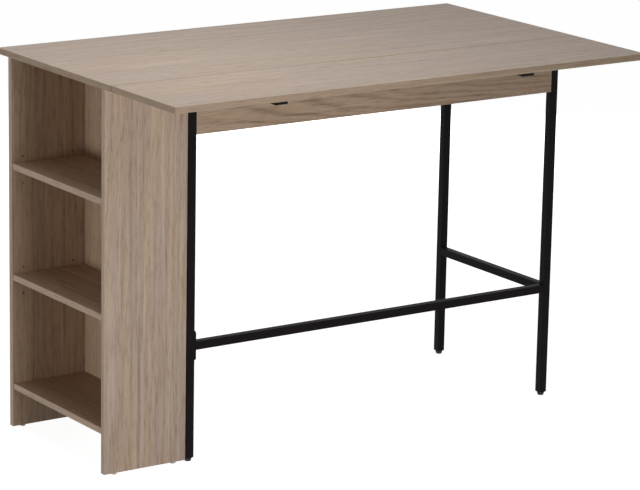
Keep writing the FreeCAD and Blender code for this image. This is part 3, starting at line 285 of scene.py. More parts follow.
class FastenerSettings(bpy.types.PropertyGroup):
    """Wood screws and socket bolts."""

    screw_head: FloatProperty(
        name="Screw Head Radius", description="Radius of a wood screw's head", unit="LENGTH",
        default=3.8 * MM, min=0)
    screw_height: FloatProperty(
        name="Screw Head Height", description="Height of a wood screw's head", unit="LENGTH",
        default=2.4 * MM, min=0)
    screw_shank: FloatProperty(
        name="Screw Shank Radius", description="Radius of a wood screw's shank", unit="LENGTH",
        default=1.7 * MM, min=0)
    screw_tip: FloatProperty(
        name="Screw Tip", description="Length of a wood screw's point", unit="LENGTH", default=3 * MM, min=0)
    bolt_head: FloatProperty(
        name="Bolt Head Radius", description="Radius of a socket bolt's head", unit="LENGTH",
        default=5.2 * MM, min=0)
    bolt_height: FloatProperty(
        name="Bolt Head Height", description="Height of a socket bolt's head", unit="LENGTH",
        default=3.3 * MM, min=0)
    bolt_shank: FloatProperty(
        name="Bolt Shank Radius", description="Radius of a socket bolt's shank", unit="LENGTH",
        default=2.9 * MM, min=0)
    bolt_tip: FloatProperty(
        name="Bolt Chamfer", description="Length of the chamfer at a socket bolt's end", unit="LENGTH",
        default=1 * MM, min=0)
    seed: IntProperty(name="Seed", description="Seed of the heads' turns", default=7, min=0)


class FootSettings(bpy.types.PropertyGroup):
    """Levelling feet."""

    pitch: FloatProperty(
        name="Thread Pitch", description="Pitch of the stud's thread", unit="LENGTH",
        default=1.25 * MM, min=0)
    thread: FloatProperty(
        name="Thread Depth", description="Depth of the stud's thread", unit="LENGTH", default=0.6 * MM, min=0)
    grips: IntProperty(name="Grips", description="Finger grips round a foot", default=14, min=0)
    grip_depth: FloatProperty(
        name="Grip Depth", description="Depth of a finger grip", unit="LENGTH", default=0.45 * MM, min=0)
    plastic: FloatVectorProperty(
        name="Black Plastic", description="Moulded plastic of the feet and plugs", subtype="COLOR",
        default=linear(27, 26, 27), min=0, max=1)


class FittingSettings(bpy.types.PropertyGroup):
    """Plated, pale and wooden fittings."""

    zinc: FloatVectorProperty(
        name="Zinc", description="Zinc plating", subtype="COLOR", default=linear(196, 198, 201), min=0, max=1)
    stain: FloatVectorProperty(
        name="Zinc Stain", description="Darker patches of the plating", subtype="COLOR",
        default=linear(158, 157, 152), min=0, max=1)
    pale_plastic: FloatVectorProperty(
        name="Pale Plastic", description="Glides under the side panels", subtype="COLOR",
        default=linear(206, 200, 190), min=0, max=1)
    beech: FloatVectorProperty(
        name="Beech", description="Dowels", subtype="COLOR", default=linear(203, 168, 128), min=0, max=1)


class StageSettings(bpy.types.PropertyGroup):
    """Camera, lights and floor."""

    place: FloatVectorProperty(
        name="Camera Place", description="Where the camera stands", subtype="TRANSLATION", unit="LENGTH",
        default=(-4.0972, -5.98653, 2.27277))
    yaw: FloatProperty(
        name="Yaw", description="Turn from the table's depth towards its length", unit="ROTATION",
        default=math.radians(34.39))
    pitch: FloatProperty(
        name="Pitch", description="Angle that the camera looks down", unit="ROTATION",
        default=math.radians(14.12))
    roll: FloatProperty(
        name="Roll", description="Turn about the view", unit="ROTATION", default=math.radians(1.12))
    lens: FloatProperty(
        name="Lens", description="Focal length in millimetres on a 36 mm sensor", default=176.03, min=1)
    floor: FloatVectorProperty(
        name="Floor", description="Colour of the floor", subtype="COLOR",
        default=linear(182, 181, 180), min=0, max=1)
    ambient: FloatProperty(
        name="Ambient", description="Brightness of the surroundings", subtype="FACTOR", default=0.15,
        min=0, max=1)
    overhead: FloatProperty(
        name="Overhead", description="Share of a white surface's brightness from above", default=0.86, min=0)
    front: FloatProperty(
        name="Front", description="Share of a white surface's brightness from the front", default=0.51, min=0)
    left: FloatProperty(
        name="Left", description="Share of a white surface's brightness from the left", default=0.29, min=0)
    rear: FloatProperty(
        name="Rear", description="Share of a white surface's brightness from the rear right",
        default=0.45, min=0)


class Value:
    """A socket of a node tree. Arithmetic on it adds Math nodes."""

    def __init__(self, nodes, socket):
        self.nodes = nodes
        self.socket = socket

    def part(self, output):
        """Another output of the same node."""
        return Value(self.nodes, self.socket.node.outputs[output])

    def __add__(self, other):
        return self.nodes.math("ADD", self, other)

    __radd__ = __add__

    def __sub__(self, other):
        return self.nodes.math("SUBTRACT", self, other)

    def __rsub__(self, other):
        return self.nodes.math("SUBTRACT", other, self)

    def __mul__(self, other):
        return self.nodes.math("MULTIPLY", self, other)

    __rmul__ = __mul__

    def __truediv__(self, other):
        return self.nodes.math("DIVIDE", self, other)

    def __pow__(self, other):
        return self.nodes.math("POWER", self, other)

    def __gt__(self, other):
        return self.nodes.math("GREATER_THAN", self, other)

    def __abs__(self):
        return self.nodes.math("ABSOLUTE", self)


class Nodes:
    """A node tree that is being built."""

    def __init__(self, tree):
        self.tree = tree

    def add(self, kind, settings=None, sockets=None, output=0):
        """A new node with its settings, then its sockets' values or links; gives one of its outputs."""
        node = self.tree.nodes.new(kind)
        for name, setting in (settings or {}).items():
            setattr(node, name, setting)
        for key, value in (sockets or {}).items():
            for item in value if isinstance(value, list) else [value]:
                if isinstance(item, Value):
                    self.tree.links.new(item.socket, node.inputs[key])
                else:
                    node.inputs[key].default_value = item
        return Value(self, node.outputs[output]) if node.outputs else None

    def math(self, operation, *values):
        """A Math node on values or numbers."""
        return self.add("ShaderNodeMath", {"operation": operation}, dict(enumerate(values)))

    def vector(self, operation, *values):
        """A Vector Math node on vectors."""
        return self.add("ShaderNodeVectorMath", {"operation": operation}, dict(enumerate(values)))

    def combine(self, *parts):
        """A vector of three values."""
        return self.add("ShaderNodeCombineXYZ", None, dict(enumerate(parts)))

    def split(self, vector):
        """The three values of a vector, by axis."""
        first = self.add("ShaderNodeSeparateXYZ", None, {0: vector})
        return {axis: first.part(index) for index, axis in enumerate(AXES)}

    def smooth(self, value, low, high):
        """A soft step from 0 at low to 1 at high."""
        return self.add(
            "ShaderNodeMapRange", {"interpolation_type": "SMOOTHSTEP"},
            {"Value": value, "From Min": low, "From Max": high})

    def noise(self, place, layer, shift=0.0):
        """A layer's noise over a place, with a further shift of its pattern."""
        offset = tuple((layer.shift + shift) * share for share in SHIFT_SHARES)
        spot = self.vector("MULTIPLY_ADD", place, layer.stretch, offset)
        sockets = {"Vector": spot, "Scale": 1.0, "Detail": layer.detail, "Roughness": layer.grit}
        return self.add("ShaderNodeTexNoise", None, sockets)

    def shown(self, noise, layer):
        """How far a noise lies between the levels at which its layer shows."""
        return self.smooth(noise, layer.low, layer.high)

    def swing(self, noise, layer):
        """What a noise adds as it swings about its middle."""
        return (noise - NOISE_MIDDLE) * layer.swing

    def seen(self):
        """1 for rays from the camera, reflections and clear things, and 0 for those that carry light."""
        rays = self.add("ShaderNodeLightPath")
        direct = self.math("MAXIMUM", rays.part("Is Camera Ray"), rays.part("Is Glossy Ray"))
        return self.math("MAXIMUM", direct, rays.part("Is Transmission Ray"))


class Finish(Nodes):
    """A material that is being built on its piece's own coordinates."""

    def __init__(self, name):
        self.material = bpy.data.materials.new(name)
        self.material.use_nodes = True
        super().__init__(self.material.node_tree)
        self.tree.nodes.clear()

    def coordinates(self, output="Object"):
        """The piece's own coordinates or normal."""
        return self.add("ShaderNodeTexCoord", output=output)

    def blend(self, share, first, second):
        """A colour between two, by a share."""
        return self.add("ShaderNodeMix", {"data_type": "RGBA"}, {0: share, 6: first, 7: second}, 2)

    def close(self, colour, roughness, height, depth, **constants):
        """Join colour, roughness and relief to the surface, with its constant sockets."""
        normal = self.add("ShaderNodeBump", None, {"Distance": depth, "Height": height})
        sockets = {"Base Color": colour, "Roughness": roughness, "Normal": normal}
        sockets.update({name.replace("_", " "): value for name, value in constants.items()})
        surface = self.add("ShaderNodeBsdfPrincipled", None, sockets)
        self.add("ShaderNodeOutputMaterial", None, {"Surface": surface})
        return self.material


def late_wood(finish, look, place, along, across):
    """Rings of late wood round the heart of a board's figure, clear in some places and faint in others."""
    wobble = finish.noise(place, WOBBLE, look.shift)
    away = across - look.heart[1]
    rise = (along - look.heart[0]) * look.slope
    radius = finish.math("SQRT", away * away + rise * rise)
    phase = radius * look.rings + wobble * WOBBLE.swing
    wave = finish.math("SINE", phase * math.tau) * 0.5 + 0.5
    return wave ** RING_POWER * finish.shown(wobble, WOBBLE)


def oak_finish(name, oak, look):
    """Oak-print laminate with its grain along one axis, banded edges and pale arrises, part trimmed edge and
    part painted highlight.
    """
    finish = Finish(name)
    spot = finish.split(finish.coordinates())
    lean = {axis: abs(part) for axis, part in finish.split(finish.coordinates("Normal")).items()}
    side = next(axis for axis in AXES if axis not in (look.grain, look.face))
    on_end = lean[look.grain] > BAND_LEAN
    banded = finish.math("MAXIMUM", on_end, lean[side] > BAND_LEAN)
    along = spot[look.grain] + (spot[side] - spot[look.grain]) * on_end
    across = spot[side] + (spot[look.grain] - spot[side]) * on_end
    depth = spot[look.face] + banded * BAND_SHIFT
    flat = finish.combine(along, across, depth)
    drift = finish.noise(flat, DRIFT, look.shift)
    sway = finish.noise(flat, SWAY, look.shift)
    bent = across + finish.swing(drift, DRIFT) + finish.swing(sway, SWAY)
    place = finish.combine(along, bent, depth)
    ground = finish.noise(place, GROUND, look.shift)
    streak = finish.noise(place, STREAK, look.shift)
    pale = finish.noise(place, PALE, look.shift)
    fibre = finish.noise(place, FIBRE, look.shift)
    pore = finish.shown(finish.noise(place, PORE, look.shift), PORE)
    late = late_wood(finish, look, place, along, bent) * (1.0 - banded)
    tan_share = finish.shown(ground + look.warmth, GROUND)
    shade = finish.shown(streak, STREAK) * oak.streaks + late * look.figure
    shade = shade + finish.shown(fibre, FIBRE) * FIBRE.share + pore * PORE.share
    colour = finish.blend(tan_share, colour_of(oak.grey), colour_of(oak.tan))
    colour = finish.blend(shade * look.dark, colour, colour_of(oak.dark))
    colour = finish.blend(finish.shown(pale, PALE) * PALE.share, colour, colour_of(oak.pale))
    # Rounded arrises turn pale all round: partly the trimmed band's core, partly a painted highlight.
    flattest = finish.math("MAXIMUM", finish.math("MAXIMUM", lean["x"], lean["y"]), lean["z"])
    trim_and_highlight = finish.smooth(1.0 - flattest, *ARRIS_LEANS) * ARRIS_TRIM_AND_HIGHLIGHT_SHARE
    colour = finish.blend(trim_and_highlight, colour, colour_of(oak.pale))
    # Faces take their painted light or shade, and edge bands their own tone.
    tone = finish.blend(banded, colour_of(look.tone), colour_of(look.band))
    colour = finish.vector("MULTIPLY", colour, tone)
    roughness = OAK_ROUGHNESS + finish.swing(fibre, FIBRE) + pore * PORE.swing
    height = fibre * FIBRE.rise + streak * STREAK.rise - pore
    return finish.close(colour, roughness, height, oak.relief, Specular_IOR_Level=OAK_SHINE)


def powder_coat(name, steel):
    """Matte powder coat with a fine orange peel."""
    finish = Finish(name)
    place = finish.coordinates()
    cloud = finish.noise(place, CLOUD)
    peel = finish.noise(place, PEEL)
    grains = finish.shown(finish.noise(place, GRAINS), GRAINS)
    bloom = finish.shown(cloud, CLOUD) * CLOUD.share + grains * GRAINS.share
    colour = finish.blend(bloom, colour_of(steel.coat), colour_of(steel.sheen))
    roughness = COAT_ROUGHNESS + finish.swing(cloud, CLOUD) + finish.swing(peel, PEEL)
    height = peel + grains * GRAINS.rise
    return finish.close(colour, roughness, height, COAT_RELIEF, Specular_IOR_Level=COAT_SHINE)


def plated_metal(name, bright, stain, metallic=1.0, rough=PLATE_ROUGHNESS):
    """Plated steel with soft stains and fine rolling marks."""
    finish = Finish(name)
    place = finish.coordinates()
    patch = finish.noise(place, STAIN)
    marks = finish.noise(place, ROLLING)
    colour = finish.blend(finish.shown(patch, STAIN) * STAIN.share, colour_of(bright), colour_of(stain))
    roughness = rough + finish.swing(patch, STAIN) + finish.swing(marks, ROLLING)
    return finish.close(colour, roughness, marks, PLATE_RELIEF, Metallic=metallic)


def moulded_plastic(name, tint, rough=PLASTIC_ROUGHNESS):
    """Moulded plastic with a fine spark-eroded texture."""
    finish = Finish(name)
    place = finish.coordinates()
    flow = finish.noise(place, FLOW)
    spark = finish.noise(place, SPARK)
    darker = tuple(level * FLOW_DARK_SHARE for level in tint)
    colour = finish.blend(finish.shown(flow, FLOW), colour_of(tint), colour_of(darker))
    roughness = rough + finish.swing(spark, SPARK)
    return finish.close(colour, roughness, spark, PLASTIC_RELIEF, Specular_IOR_Level=PLASTIC_SHINE)


def turned_beech(name, tint):
    """Plain beech with short flecks along the dowels."""
    finish = Finish(name)
    fleck = finish.noise(finish.coordinates(), FLECK)
    darker = tuple(level * FLECK_DARK_SHARE for level in tint)
    colour = finish.blend(finish.shown(fleck, FLECK) * FLECK.share, colour_of(tint), colour_of(darker))
    roughness = BEECH_ROUGHNESS + finish.swing(fleck, FLECK)
    return finish.close(colour, roughness, fleck, BEECH_RELIEF, Specular_IOR_Level=BEECH_SHINE)


def dress(nodes, material):
    """Give CAD nodes a material in all their slots."""
    for node in nodes:
        for slot in NODES[node].material_slots:
            slot.material = material


def kept_finish(name):
    """A finish that an earlier operator made."""
    if name not in bpy.data.materials:
        raise RuntimeError(f"the finish {name} has not been made yet")
    return bpy.data.materials[name]


def add_piece(name, mesh, sharp=SHARP_EDGE):
    """A new object at the origin, smooth apart from its sharp edges."""
    if not mesh.polygons:
        raise RuntimeError(f"the piece {name} came out empty")
    mesh.shade_smooth()
    mesh.set_sharp_from_angle(angle=sharp)
    piece = bpy.data.objects.new(name, mesh)
    bpy.context.scene.collection.objects.link(piece)
    return piece


def islands(node):
    """The points of each separate solid of a CAD node, in a fixed order."""
    work = bmesh.new()
    work.from_mesh(NODES[node].data)
    bmesh.ops.remove_doubles(work, verts=work.verts, dist=WELD_DISTANCE)
    for vert in work.verts:
        vert.tag = False
    groups = []
    for first in work.verts:
        if first.tag:
            continue
        first.tag = True
        group = [first]
        for vert in group:
            for edge in vert.link_edges:
                other = edge.other_vert(vert)
                if not other.tag:
                    other.tag = True
                    group.append(other)
        groups.append([vert.co.copy() for vert in group])
    work.free()
    return groups


def span(points):
    """The low and the high corner of points."""
    low = Vector([min(point[axis] for point in points) for axis in range(3)])
    high = Vector([max(point[axis] for point in points) for axis in range(3)])
    return low, high


def head_places(nodes):
    """The outer end of each fastener's head with the way it faces, and the fasteners' whole length."""
    places = []
    lengths = []
    for node in nodes:
        for points in islands(node):
            low, high = span(points)
            middle = (low + high) / 2
            length = max(range(3), key=lambda axis: high[axis] - low[axis])
            sides = [axis for axis in range(3) if axis != length]
            widest = max(points, key=lambda point: sum((point[a] - middle[a]) ** 2 for a in sides))
            aim = Vector()
            aim[length] = 1.0 if widest[length] > middle[length] else -1.0
            end = middle.copy()
            end[length] = high[length] if aim[length] > 0 else low[length]
            places.append((end, aim))
            lengths.append(high[length] - low[length])
    return places, min(lengths)


class Growth(Nodes):
    """A geometry node tree with named inputs, run over a mesh of points or lines."""

    def __init__(self, name):
        super().__init__(bpy.data.node_groups.new(name, "GeometryNodeTree"))
        self.values = {}
        self.tree.interface.new_socket("Geometry", in_out="INPUT", socket_type="NodeSocketGeometry")
        self.tree.interface.new_socket("Geometry", in_out="OUTPUT", socket_type="NodeSocketGeometry")
        self.entry = self.tree.nodes.new("NodeGroupInput")
        self.points = Value(self, self.entry.outputs[0])

    def size(self, name, value, kind="NodeSocketFloat"):
        """A named input with the value that it takes."""
        socket = self.tree.interface.new_socket(name, in_out="INPUT", socket_type=kind)
        self.values[socket.identifier] = value
        return Value(self, self.entry.outputs[name])

    def finish(self, geometry, material):
        """End the tree with plain geometry in a material."""
        real = self.add("GeometryNodeRealizeInstances", None, {"Geometry": geometry})
        slot = self.size("Finish", material, "NodeSocketMaterial")
        dressed = self.add("GeometryNodeSetMaterial", None, {"Geometry": real, "Material": slot})
        self.add("NodeGroupOutput", None, {0: dressed})

    def mesh(self, seed_mesh):
        """Run the tree over a mesh and give the result as a plain mesh."""
        carrier = bpy.data.objects.new(self.tree.name, seed_mesh)
        bpy.context.scene.collection.objects.link(carrier)
        modifier = carrier.modifiers.new(self.tree.name, "NODES")
        modifier.node_group = self.tree
        for identifier, value in self.values.items():
            modifier[identifier] = value
        depsgraph = bpy.context.evaluated_depsgraph_get()
        grown = bpy.data.meshes.new_from_object(carrier.evaluated_get(depsgraph))
        carrier.modifiers.remove(modifier)
        bpy.data.objects.remove(carrier)
        return grown


def point_mesh(name, places):
    """A mesh of points, each with the way it faces."""
    mesh = bpy.data.meshes.new(name)
    mesh.from_pydata([place for place, aim in places], [], [])
    aims = mesh.attributes.new("aim", "FLOAT_VECTOR", "POINT")
    for item, (place, aim) in zip(aims.data, places):
        item.vector = aim
    return mesh


def recess_cutters(growth, recess, radius, height):
    """What cuts a head's recess, reaching as far above the head's top as below it."""
    if recess == "cross":
        long_way = radius * CROSS_LENGTH_SHARE
        short_way = radius * CROSS_WIDTH_SHARE
        depth = height * CROSS_DEPTH_SHARE
        sizes = (growth.combine(long_way, short_way, depth), growth.combine(short_way, long_way, depth))
        return [growth.add("GeometryNodeMeshCube", None, {"Size": size}) for size in sizes]
    return [growth.add("GeometryNodeMeshCylinder", None, {
        "Vertices": SOCKET_SIDES, "Radius": radius * SOCKET_WIDTH_SHARE,
        "Depth": height * SOCKET_DEPTH_SHARE})]


def grow_fasteners(name, nodes, shape, seed, material):
    """Headed fasteners at the places of CAD nodes, each turned at random about its own axis."""
    places, length = head_places(nodes)
    growth = Growth(name)
    radius = growth.size("Head Radius", shape.head)
    height = growth.size("Head Height", shape.height)
    shank_radius = growth.size("Shank Radius", shape.shank)
    tip = growth.size("Tip Length", shape.tip)
    shank_length = growth.size("Whole Length", length) - height
    turn_seed = growth.size("Seed", seed, "NodeSocketInt")
    blank = growth.add("GeometryNodeMeshCylinder", None, {
        "Vertices": HEAD_SIDES, "Side Segments": HEAD_RINGS, "Fill Segments": HEAD_FILLS,
        "Radius": radius, "Depth": height})
    spot = growth.split(growth.add("GeometryNodeInputPosition"))
    level = spot["z"] / height + 0.5
    width = 1.0 - (level ** DOME_POWER) * shape.dome
    crowned = growth.combine(spot["x"] * width, spot["y"] * width, spot["z"] - height * 0.5)
    head = growth.add("GeometryNodeSetPosition", None, {"Geometry": blank, "Position": crowned})
    cutters = recess_cutters(growth, shape.recess, radius, height)
    cut = growth.add(
        "GeometryNodeMeshBoolean", {"operation": "DIFFERENCE", "solver": "EXACT"},
        {"Mesh 1": head, "Mesh 2": cutters, "Self Intersection": True})
    cut = growth.add("GeometryNodeMergeByDistance", None, {"Geometry": cut, "Distance": WELD_DISTANCE})
    rod = growth.add("GeometryNodeMeshCylinder", None, {
        "Vertices": SHANK_SIDES, "Side Segments": SHANK_RINGS, "Radius": shank_radius,
        "Depth": shank_length})
    reach = (spot["z"] + shank_length * 0.5) / tip
    slim = growth.math("MINIMUM", reach * (1.0 - shape.point) + shape.point, 1.0)
    drop = spot["z"] - height - shank_length * 0.5
    tapered = growth.combine(spot["x"] * slim, spot["y"] * slim, drop)
    shank = growth.add("GeometryNodeSetPosition", None, {"Geometry": rod, "Position": tapered})
    whole = growth.add("GeometryNodeJoinGeometry", None, {0: [cut, shank]})
    aim = growth.add(
        "GeometryNodeInputNamedAttribute", {"data_type": "FLOAT_VECTOR"}, {"Name": "aim"})
    facing = growth.add("FunctionNodeAlignRotationToVector", {"axis": "Z"}, {"Vector": aim})
    spin = growth.add(
        "FunctionNodeRandomValue", {"data_type": "FLOAT"}, {2: 0.0, 3: math.tau, "Seed": turn_seed}, 1)
    twist = growth.add(
        "FunctionNodeAxisAngleToRotation", None, {"Axis": (0.0, 0.0, 1.0), "Angle": spin})
    turned = growth.add(
        "FunctionNodeRotateRotation", {"rotation_space": "LOCAL"}, {0: facing, 1: twist})
    copies = growth.add(
        "GeometryNodeInstanceOnPoints", None,
        {"Points": growth.points, "Instance": whole, "Rotation": turned})
    growth.finish(copies, material)
    return add_piece(name, growth.mesh(point_mesh(name, places)))


def bead_lines():
    """Both ends of each weld line, where tubes, plates and tabs meet."""
    lines = []
    for node, edges in WELDED_RAILS:
        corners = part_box(node)
        left = corners[0].x + BEAD_INSET
        right = corners[1].x - BEAD_INSET
        for end in corners:
            for edge in edges:
                z = corners[edge].z
                lines.append((Vector((left, end.y, z)), Vector((right, end.y, z))))
    low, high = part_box("long_stretcher")
    for z in (low.z, high.z):
        lines.append((Vector((low.x, low.y + BEAD_INSET, z)), Vector((low.x, high.y - BEAD_INSET, z))))
    for points in islands("apron_tabs"):
        low, high = span(points)
        x = low.x if low.x < 0 else high.x
        y = high.y if low.y < 0 else low.y
        lines.append((Vector((x, y, low.z + BEAD_INSET)), Vector((x, y, high.z - BEAD_INSET))))
    return lines


def grow_beads(name, lines, radius, pitch, material):
    """Rippled weld beads along straight lines."""
    growth = Growth(name)
    bead = growth.size("Bead Radius", radius)
    ripple = growth.size("Ripple Pitch", pitch)
    paths = growth.add("GeometryNodeMeshToCurve", None, {"Mesh": growth.points})
    fine = growth.add(
        "GeometryNodeResampleCurve", {"mode": "LENGTH"},
        {"Curve": paths, "Length": ripple * BEAD_STEP_SHARE})
    share = growth.add("GeometryNodeSplineParameter")
    waves = abs(growth.math("SINE", share.part("Length") / ripple * math.pi))
    rough = growth.noise(growth.add("GeometryNodeInputPosition"), SPATTER)
    ends = 1.0 - abs(share * 2.0 - 1.0) ** BEAD_END_POWER
    body = BEAD_BODY_SHARE + waves * BEAD_RIPPLE_SHARE + rough * SPATTER.share
    width = bead * body * (BEAD_END_SHARE + ends * (1.0 - BEAD_END_SHARE))
    ring = growth.add("GeometryNodeCurvePrimitiveCircle", None, {"Resolution": BEAD_SIDES, "Radius": 1.0})
    tube = growth.add(
        "GeometryNodeCurveToMesh", None,
        {"Curve": fine, "Profile Curve": ring, "Scale": width, "Fill Caps": True})
    growth.finish(tube, material)
    seed_mesh = bpy.data.meshes.new(name)
    corners = [corner for line in lines for corner in line]
    seed_mesh.from_pydata(corners, [(2 * n, 2 * n + 1) for n in range(len(lines))], [])
    return add_piece(name, growth.mesh(seed_mesh), BEAD_EDGE)


def foot_mesh(name, node, feet):
    """A levelling foot: a gripped plastic base turned about a threaded stud."""
    low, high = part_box(node)
    centre = Vector(((low.x + high.x) / 2, (low.y + high.y) / 2, low.z))
    widest = (high.x - low.x) / 2
    rows = [(share * widest, height * MM, grip, None) for share, height, grip in FOOT_PROFILE]
    stud_start = rows[-1][1]
    stud_end = high.z - low.z
    count = int((stud_end - stud_start) / feet.pitch * THREAD_STEPS)
    for step in range(count + 1):
        height = stud_start + (stud_end - stud_start) * step / count
        fade = min(1.0, (count - step) / THREAD_STEPS)
        rows.append((STUD_RADIUS, height, 0.0, fade))
    work = bmesh.new()
    rings = []
    for radius, height, grip, fade in rows:
        ring = []
        for side in range(FOOT_SIDES):
            angle = math.tau * side / FOOT_SIDES
            reach = radius
            if fade is not None:
                turn = (height / feet.pitch - angle / math.tau) % 1.0
                cut = 1.0 - abs(2.0 * turn - 1.0)
                reach = radius - feet.thread * max(cut, 1.0 - fade)
            elif grip:
                reach -= grip * feet.grip_depth * (0.5 - 0.5 * math.cos(angle * feet.grips)) ** 2
            at = centre + Vector((reach * math.cos(angle), reach * math.sin(angle), height))
            ring.append(work.verts.new(at))
        rings.append(ring)
    for row, (lower, upper) in enumerate(zip(rings, rings[1:]), 1):
        for side in range(FOOT_SIDES):
            after = (side + 1) % FOOT_SIDES
            face = work.faces.new((lower[side], lower[after], upper[after], upper[side]))
            face.material_index = 1 if row >= len(FOOT_PROFILE) else 0
    work.faces.new(rings[-1])
    bmesh.ops.remove_doubles(work, verts=work.verts, dist=WELD_DISTANCE)
    bmesh.ops.recalc_face_normals(work, faces=work.faces)
    mesh = bpy.data.meshes.new(name)
    work.to_mesh(mesh)
    work.free()
    return mesh


class KITCHEN_TABLE_OT_boards(bpy.types.Operator):
    """Give every board its oak print"""

    bl_idname = "kitchen_table.boards"
    bl_label = "Oak Boards"

    def execute(self, context):
        for look in BOARD_LOOKS:
            dress(look.nodes, oak_finish(f"oak_{look.nodes[0]}", context.scene.table_oak, look))
        return {"FINISHED"}


class KITCHEN_TABLE_OT_steel(bpy.types.Operator):
    """Coat the steel frame and lay its weld beads"""

    bl_idname = "kitchen_table.steel"
    bl_label = "Steel Frame"

    def execute(self, context):
        steel = context.scene.table_steel
        coat = powder_coat("black_powder_coat", steel)
        dress(COATED_STEEL, coat)
        beads = grow_beads("weld_beads", bead_lines(), steel.bead, steel.ripple, coat)
        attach(beads, "table")
        return {"FINISHED"}


class KITCHEN_TABLE_OT_fittings(bpy.types.Operator):
    """Finish the hinges, cams, pins, plugs, glides and dowels"""

    bl_idname = "kitchen_table.fittings"
    bl_label = "Fittings"

    def execute(self, context):
        fittings = context.scene.table_fittings
        dress(ZINC_PLATED, plated_metal("zinc_plate", fittings.zinc, fittings.stain))
        dress(("leg_plugs",), moulded_plastic("black_plastic", context.scene.table_feet.plastic))
        dress(("panel_glides",), moulded_plastic("pale_plastic", fittings.pale_plastic, GLIDE_ROUGHNESS))
        dress(("wood_dowels",), turned_beech("beech", fittings.beech))
        return {"FINISHED"}


class KITCHEN_TABLE_OT_screws(bpy.types.Operator):
    """Make the wood screws under the top and the leaf"""

    bl_idname = "kitchen_table.screws"
    bl_label = "Wood Screws"

    def execute(self, context):
        sizes = context.scene.table_fasteners
        shape = Fastener(
            sizes.screw_head, sizes.screw_height, sizes.screw_shank, sizes.screw_tip,
            SCREW_DOME_SHARE, "cross", SCREW_POINT_SHARE)
        for name, body, nodes in SCREW_GROUPS:
            piece = grow_fasteners(name, nodes, shape, sizes.seed, kept_finish("zinc_plate"))
            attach(piece, body)
            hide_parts(*nodes)
        return {"FINISHED"}


class KITCHEN_TABLE_OT_bolts(bpy.types.Operator):
    """Make the socket bolts of the frame"""

    bl_idname = "kitchen_table.bolts"
    bl_label = "Socket Bolts"

    def execute(self, context):
        sizes = context.scene.table_fasteners
        shape = Fastener(
            sizes.bolt_head, sizes.bolt_height, sizes.bolt_shank, sizes.bolt_tip,
            BOLT_DOME_SHARE, "hexagon", BOLT_POINT_SHARE)
        steel = context.scene.table_steel
        black = plated_metal(
            "blackened_bolts", steel.sheen, steel.coat, metallic=0.0, rough=BOLT_ROUGHNESS)
        for node in BOLT_GROUPS:
            piece = grow_fasteners(f"socket_{node}", (node,), shape, sizes.seed, black)
            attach(piece, "table")
            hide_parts(node)
        return {"FINISHED"}


class KITCHEN_TABLE_OT_feet(bpy.types.Operator):
    """Turn the four levelling feet"""

    bl_idname = "kitchen_table.feet"
    bl_label = "Levelling Feet"

    def execute(self, context):
        for corner in FEET:
            node = f"levelling_foot_{corner}"
            name = f"turned_foot_{corner}"
            piece = add_piece(name, foot_mesh(name, node, context.scene.table_feet))
            piece.data.materials.append(kept_finish("black_plastic"))
            piece.data.materials.append(kept_finish("zinc_plate"))
            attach(piece, f"{corner}_foot")
            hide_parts(node)
        return {"FINISHED"}


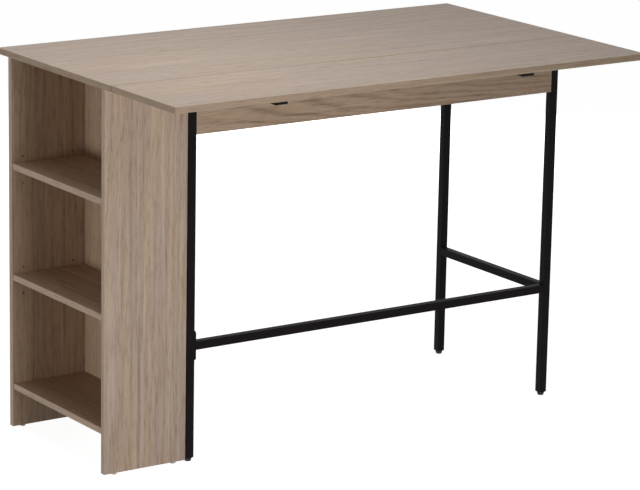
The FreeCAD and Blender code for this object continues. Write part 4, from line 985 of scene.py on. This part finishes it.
class KITCHEN_TABLE_OT_stage(bpy.types.Operator):
    """Set up the floor, the lights and the camera"""

    bl_idname = "kitchen_table.stage"
    bl_label = "Stage"

    def execute(self, context):
        stage = context.scene.table_stage
        context.scene.view_settings.view_transform = "Standard"
        self.lay_floor(context, stage)
        self.light_world(context, stage)
        self.place_lights(context, stage)
        self.place_camera(context, stage)
        return {"FINISHED"}

    def lay_floor(self, context, stage):
        """A wide floor, white to the camera apart from the shadow."""
        mesh = bpy.data.meshes.new("floor")
        corners = [(x * FLOOR_HALF, y * FLOOR_HALF, 0.0) for x, y in ((-1, -1), (1, -1), (1, 1), (-1, 1))]
        mesh.from_pydata(corners, [], [(0, 1, 2, 3)])
        floor = bpy.data.objects.new("floor", mesh)
        context.scene.collection.objects.link(floor)
        finish = Finish("floor_paint")
        matte = finish.add("ShaderNodeBsdfDiffuse", None, {"Color": colour_of(stage.floor)})
        faint = finish.add("ShaderNodeBsdfDiffuse", None, {"Color": FLOOR_FAINT})
        glow = finish.add("ShaderNodeEmission", None, {"Color": WHITE, "Strength": FLOOR_GLOW})
        shown = finish.add("ShaderNodeAddShader", None, {0: glow, 1: faint})
        mixed = finish.add("ShaderNodeMixShader", None, {0: finish.seen(), 1: matte, 2: shown})
        finish.add("ShaderNodeOutputMaterial", None, {"Surface": mixed})
        mesh.materials.append(finish.material)

    def light_world(self, context, stage):
        """Soft surroundings that the camera and reflections see as white."""
        world = bpy.data.worlds.new("studio")
        context.scene.world = world
        world.use_nodes = True
        world.node_tree.nodes.clear()
        nodes = Nodes(world.node_tree)
        strength = nodes.seen() * (1.0 - stage.ambient) + stage.ambient
        backdrop = nodes.add("ShaderNodeBackground", None, {"Color": WHITE, "Strength": strength})
        nodes.add("ShaderNodeOutputWorld", None, {"Surface": backdrop})

    def place_lights(self, context, stage):
        """Large soft lights, each with the power that gives a white surface its share of brightness."""
        for name, place, target, size, setting in LIGHTS:
            aim = Vector(target) - Vector(place)
            lamp = bpy.data.lights.new(name, "AREA")
            lamp.shape = "RECTANGLE"
            lamp.size, lamp.size_y = size
            lamp.energy = getattr(stage, setting) * math.pi ** 2 * aim.length_squared
            light = bpy.data.objects.new(name, lamp)
            light.location = place
            light.rotation_euler = aim.to_track_quat("-Z", "Y").to_euler()
            light.visible_camera = False
            light.visible_glossy = False
            context.scene.collection.objects.link(light)

    def place_camera(self, context, stage):
        """The camera at the photograph's viewing angle."""
        lens = bpy.data.cameras.new("camera")
        lens.sensor_width = SENSOR_WIDTH
        lens.lens = stage.lens
        lens.clip_end = VIEW_END
        camera = bpy.data.objects.new("camera", lens)
        ahead = Vector((
            math.sin(stage.yaw) * math.cos(stage.pitch), math.cos(stage.yaw) * math.cos(stage.pitch),
            -math.sin(stage.pitch)))
        level = Vector((math.cos(stage.yaw), -math.sin(stage.yaw), 0.0))
        upright = level.cross(ahead)
        right = level * math.cos(stage.roll) + upright * math.sin(stage.roll)
        up = upright * math.cos(stage.roll) - level * math.sin(stage.roll)
        turn = Matrix((right, up, -ahead)).transposed().to_4x4()
        camera.matrix_world = Matrix.Translation(stage.place) @ turn
        context.scene.collection.objects.link(camera)
        context.scene.camera = camera


SETTINGS = {
    "table_oak": OakSettings,
    "table_steel": SteelSettings,
    "table_fasteners": FastenerSettings,
    "table_feet": FootSettings,
    "table_fittings": FittingSettings,
    "table_stage": StageSettings,
}
STEPS = (
    KITCHEN_TABLE_OT_boards, KITCHEN_TABLE_OT_steel, KITCHEN_TABLE_OT_fittings, KITCHEN_TABLE_OT_screws,
    KITCHEN_TABLE_OT_bolts, KITCHEN_TABLE_OT_feet, KITCHEN_TABLE_OT_stage,
)


class KITCHEN_TABLE_PT_panel(bpy.types.Panel):
    """Settings and steps of the kitchen table"""

    bl_idname = "KITCHEN_TABLE_PT_panel"
    bl_label = "Kitchen Table"
    bl_space_type = "VIEW_3D"
    bl_region_type = "UI"
    bl_category = "Kitchen Table"

    def draw(self, context):
        for name in SETTINGS:
            group = getattr(context.scene, name)
            box = self.layout.box()
            for prop in group.bl_rna.properties:
                if prop.identifier not in ("rna_type", "name"):
                    box.prop(group, prop.identifier)
        for step in STEPS:
            self.layout.operator(step.bl_idname)


def register():
    """Add the settings, the steps and the panel."""
    for name, group in SETTINGS.items():
        bpy.utils.register_class(group)
        setattr(bpy.types.Scene, name, PointerProperty(type=group))
    for step in STEPS:
        bpy.utils.register_class(step)
    bpy.utils.register_class(KITCHEN_TABLE_PT_panel)


def unregister():
    """Take the settings, the steps and the panel away again."""
    bpy.utils.unregister_class(KITCHEN_TABLE_PT_panel)
    for step in reversed(STEPS):
        bpy.utils.unregister_class(step)
    for name, group in reversed(SETTINGS.items()):
        delattr(bpy.types.Scene, name)
        bpy.utils.unregister_class(group)


def main():
    """Run every step."""
    register()
    bpy.ops.kitchen_table.boards()
    bpy.ops.kitchen_table.steel()
    bpy.ops.kitchen_table.fittings()
    bpy.ops.kitchen_table.screws()
    bpy.ops.kitchen_table.bolts()
    bpy.ops.kitchen_table.feet()
    bpy.ops.kitchen_table.stage()
    bpy.context.view_layer.update()


if __name__ == "__main__":
    main()
